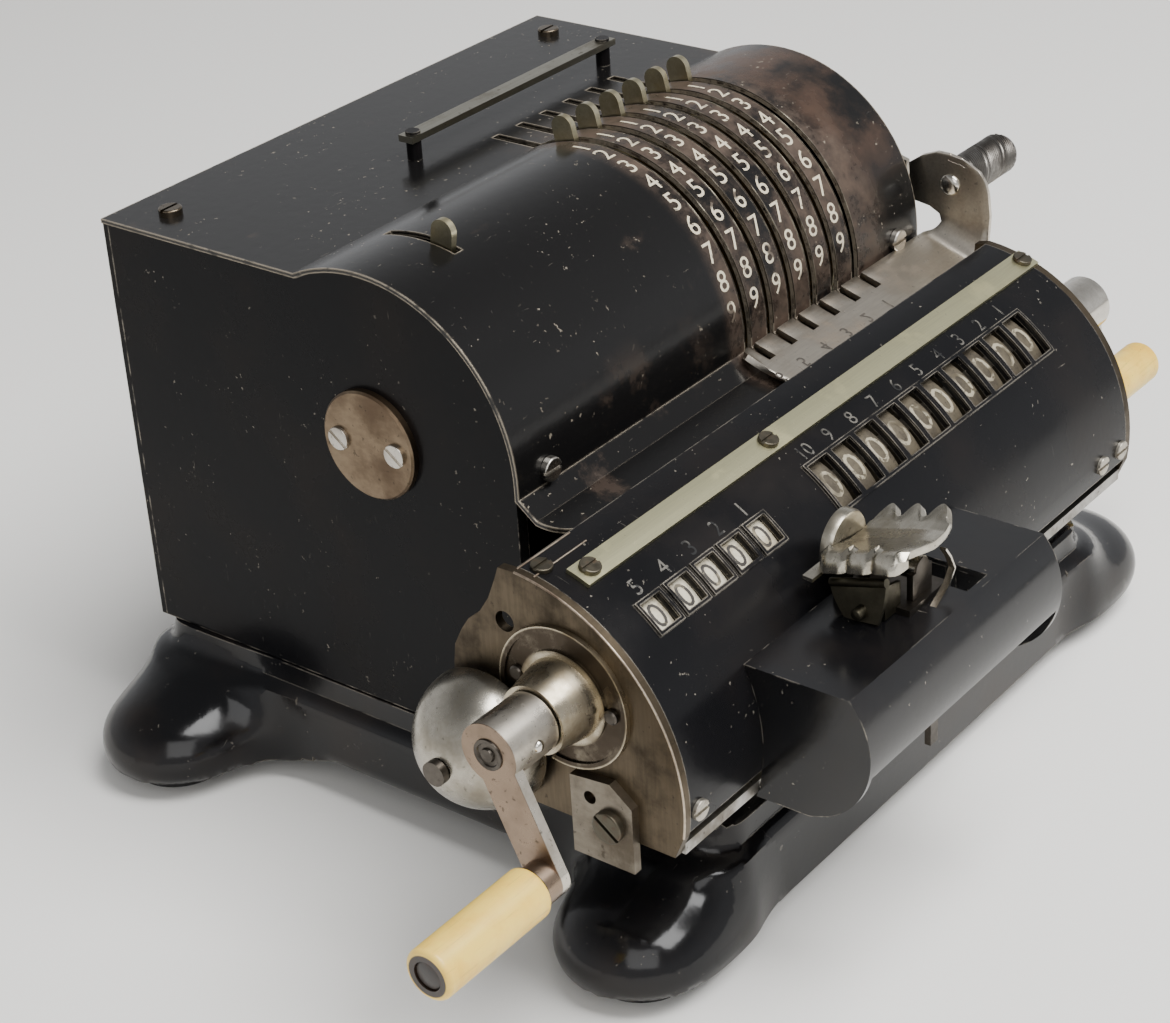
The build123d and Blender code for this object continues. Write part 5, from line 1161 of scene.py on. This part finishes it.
# %% Bend the bracket's apron
APRON_Y, APRON_HALF = -101.7, 6.3
olive_bronze = metals["olive_bronze"]
rows = []
for down in spread(0, 1, 10):
    half = APRON_HALF - 2.6 * down ** 1.6
    centre = APRON_Y - 2.4 * down
    x = -51.2 - 2.8 * down ** 0.8
    z = -13.2 - 6.3 * down
    tilt = tan(SADDLE_TILT) * (1 - 0.6 * down)
    rows.append([at(x, centre + half * side, z - half * side * tilt) for side in spread(-1, 1, 9)])
apron = sheet_piece("apron", rows, 0.9)
roll_line = []
for side in spread(-APRON_HALF, APRON_HALF, 5):
    roll_line.append(at(-51.0, APRON_Y + side, -13.0 - side * tan(SADDLE_TILT)))
roll = lay_wire("roll", [roll_line], 0.95, olive_bronze, 12)
cheek_rows = [[at(x, -107.9, -12.0 - 0.25 * (x + 51)), at(x, -107.9, -19.4)] for x in (-51.4, -48.6, -45.8)]
cheek = sheet_piece("cheek", cheek_rows, 0.8)
pin = lathe("pin", [(-55.6, 0.3), (-55.4, 1.0), (-54.9, 1.3), (-52.2, 1.3)], (-103.7, -17.6), 24)
install(join("bracket_apron", apron, roll, cheek, pin), "carriage", olive_bronze, "nickel")

# %% [markdown]
# ## Small fittings
#
# A few details finish the portrait: a dark plug in the bone grip, dark screws in the dished collar,
# and a recessed screw and a domed rivet on the clearing crank's hub.

# %% Plug, screws and rivet
dark_steel = metals["dark_steel"]
plug_line = [(-158.3, 2.9), (-159.5, 2.9), (-159.7, 2.5), (-159.7, 0.3)]
install(lathe("grip_plug", plug_line, GRIP_AXIS, 32), "counter_handle", dark_horn, "bone")
dish_line = [(-104.6, 1.5), (-105.5, 1.5), (-105.8, 1.2), (-105.8, 0.3)]
dish_screws = [lathe("dish_screw", dish_line, place, 24) for place in ((-60.3, -18.4), (-82.4, -20.6))]
install(join("dish_screws", *dish_screws), "carriage", dark_steel, "nickel")
hub_line = [(-126.9, 3.3), (-127.35, 3.2), (-127.35, 2.5), (-127.1, 2.3)]
hub_line += [(-127.1, 1.5), (-127.6, 1.3), (-127.6, 0.2)]
install(lathe("hub_screw", hub_line, WHEEL_AXIS, 32), "counter_clearing", dark_steel, "bright_nickel")

RIVET_X, RIVET_LEAN, RIVET_SIDES = -120.2, radians(88), 20
DOME = [(6.1, 1.25), (6.5, 1.2), (6.85, 0.9), (7.05, 0.5), (7.1, 0.1)]
dome_rings = []
for height, radius in DOME:
    ring = []
    for k in range(RIVET_SIDES):
        angle = 2 * pi * k / RIVET_SIDES
        middle = around(WHEEL_AXIS, height, RIVET_X + radius * cos(angle), RIVET_LEAN)
        lift = Vector((0, cos(RIVET_LEAN), sin(RIVET_LEAN)))
        ring.append(middle + lift * radius * sin(angle) * MM)
    dome_rings.append(ring)
hub_rivet = tube("hub_rivet", dome_rings)
install(hub_rivet, "counter_clearing", metals["bright_nickel"], "bright_nickel")
print("fittings done")
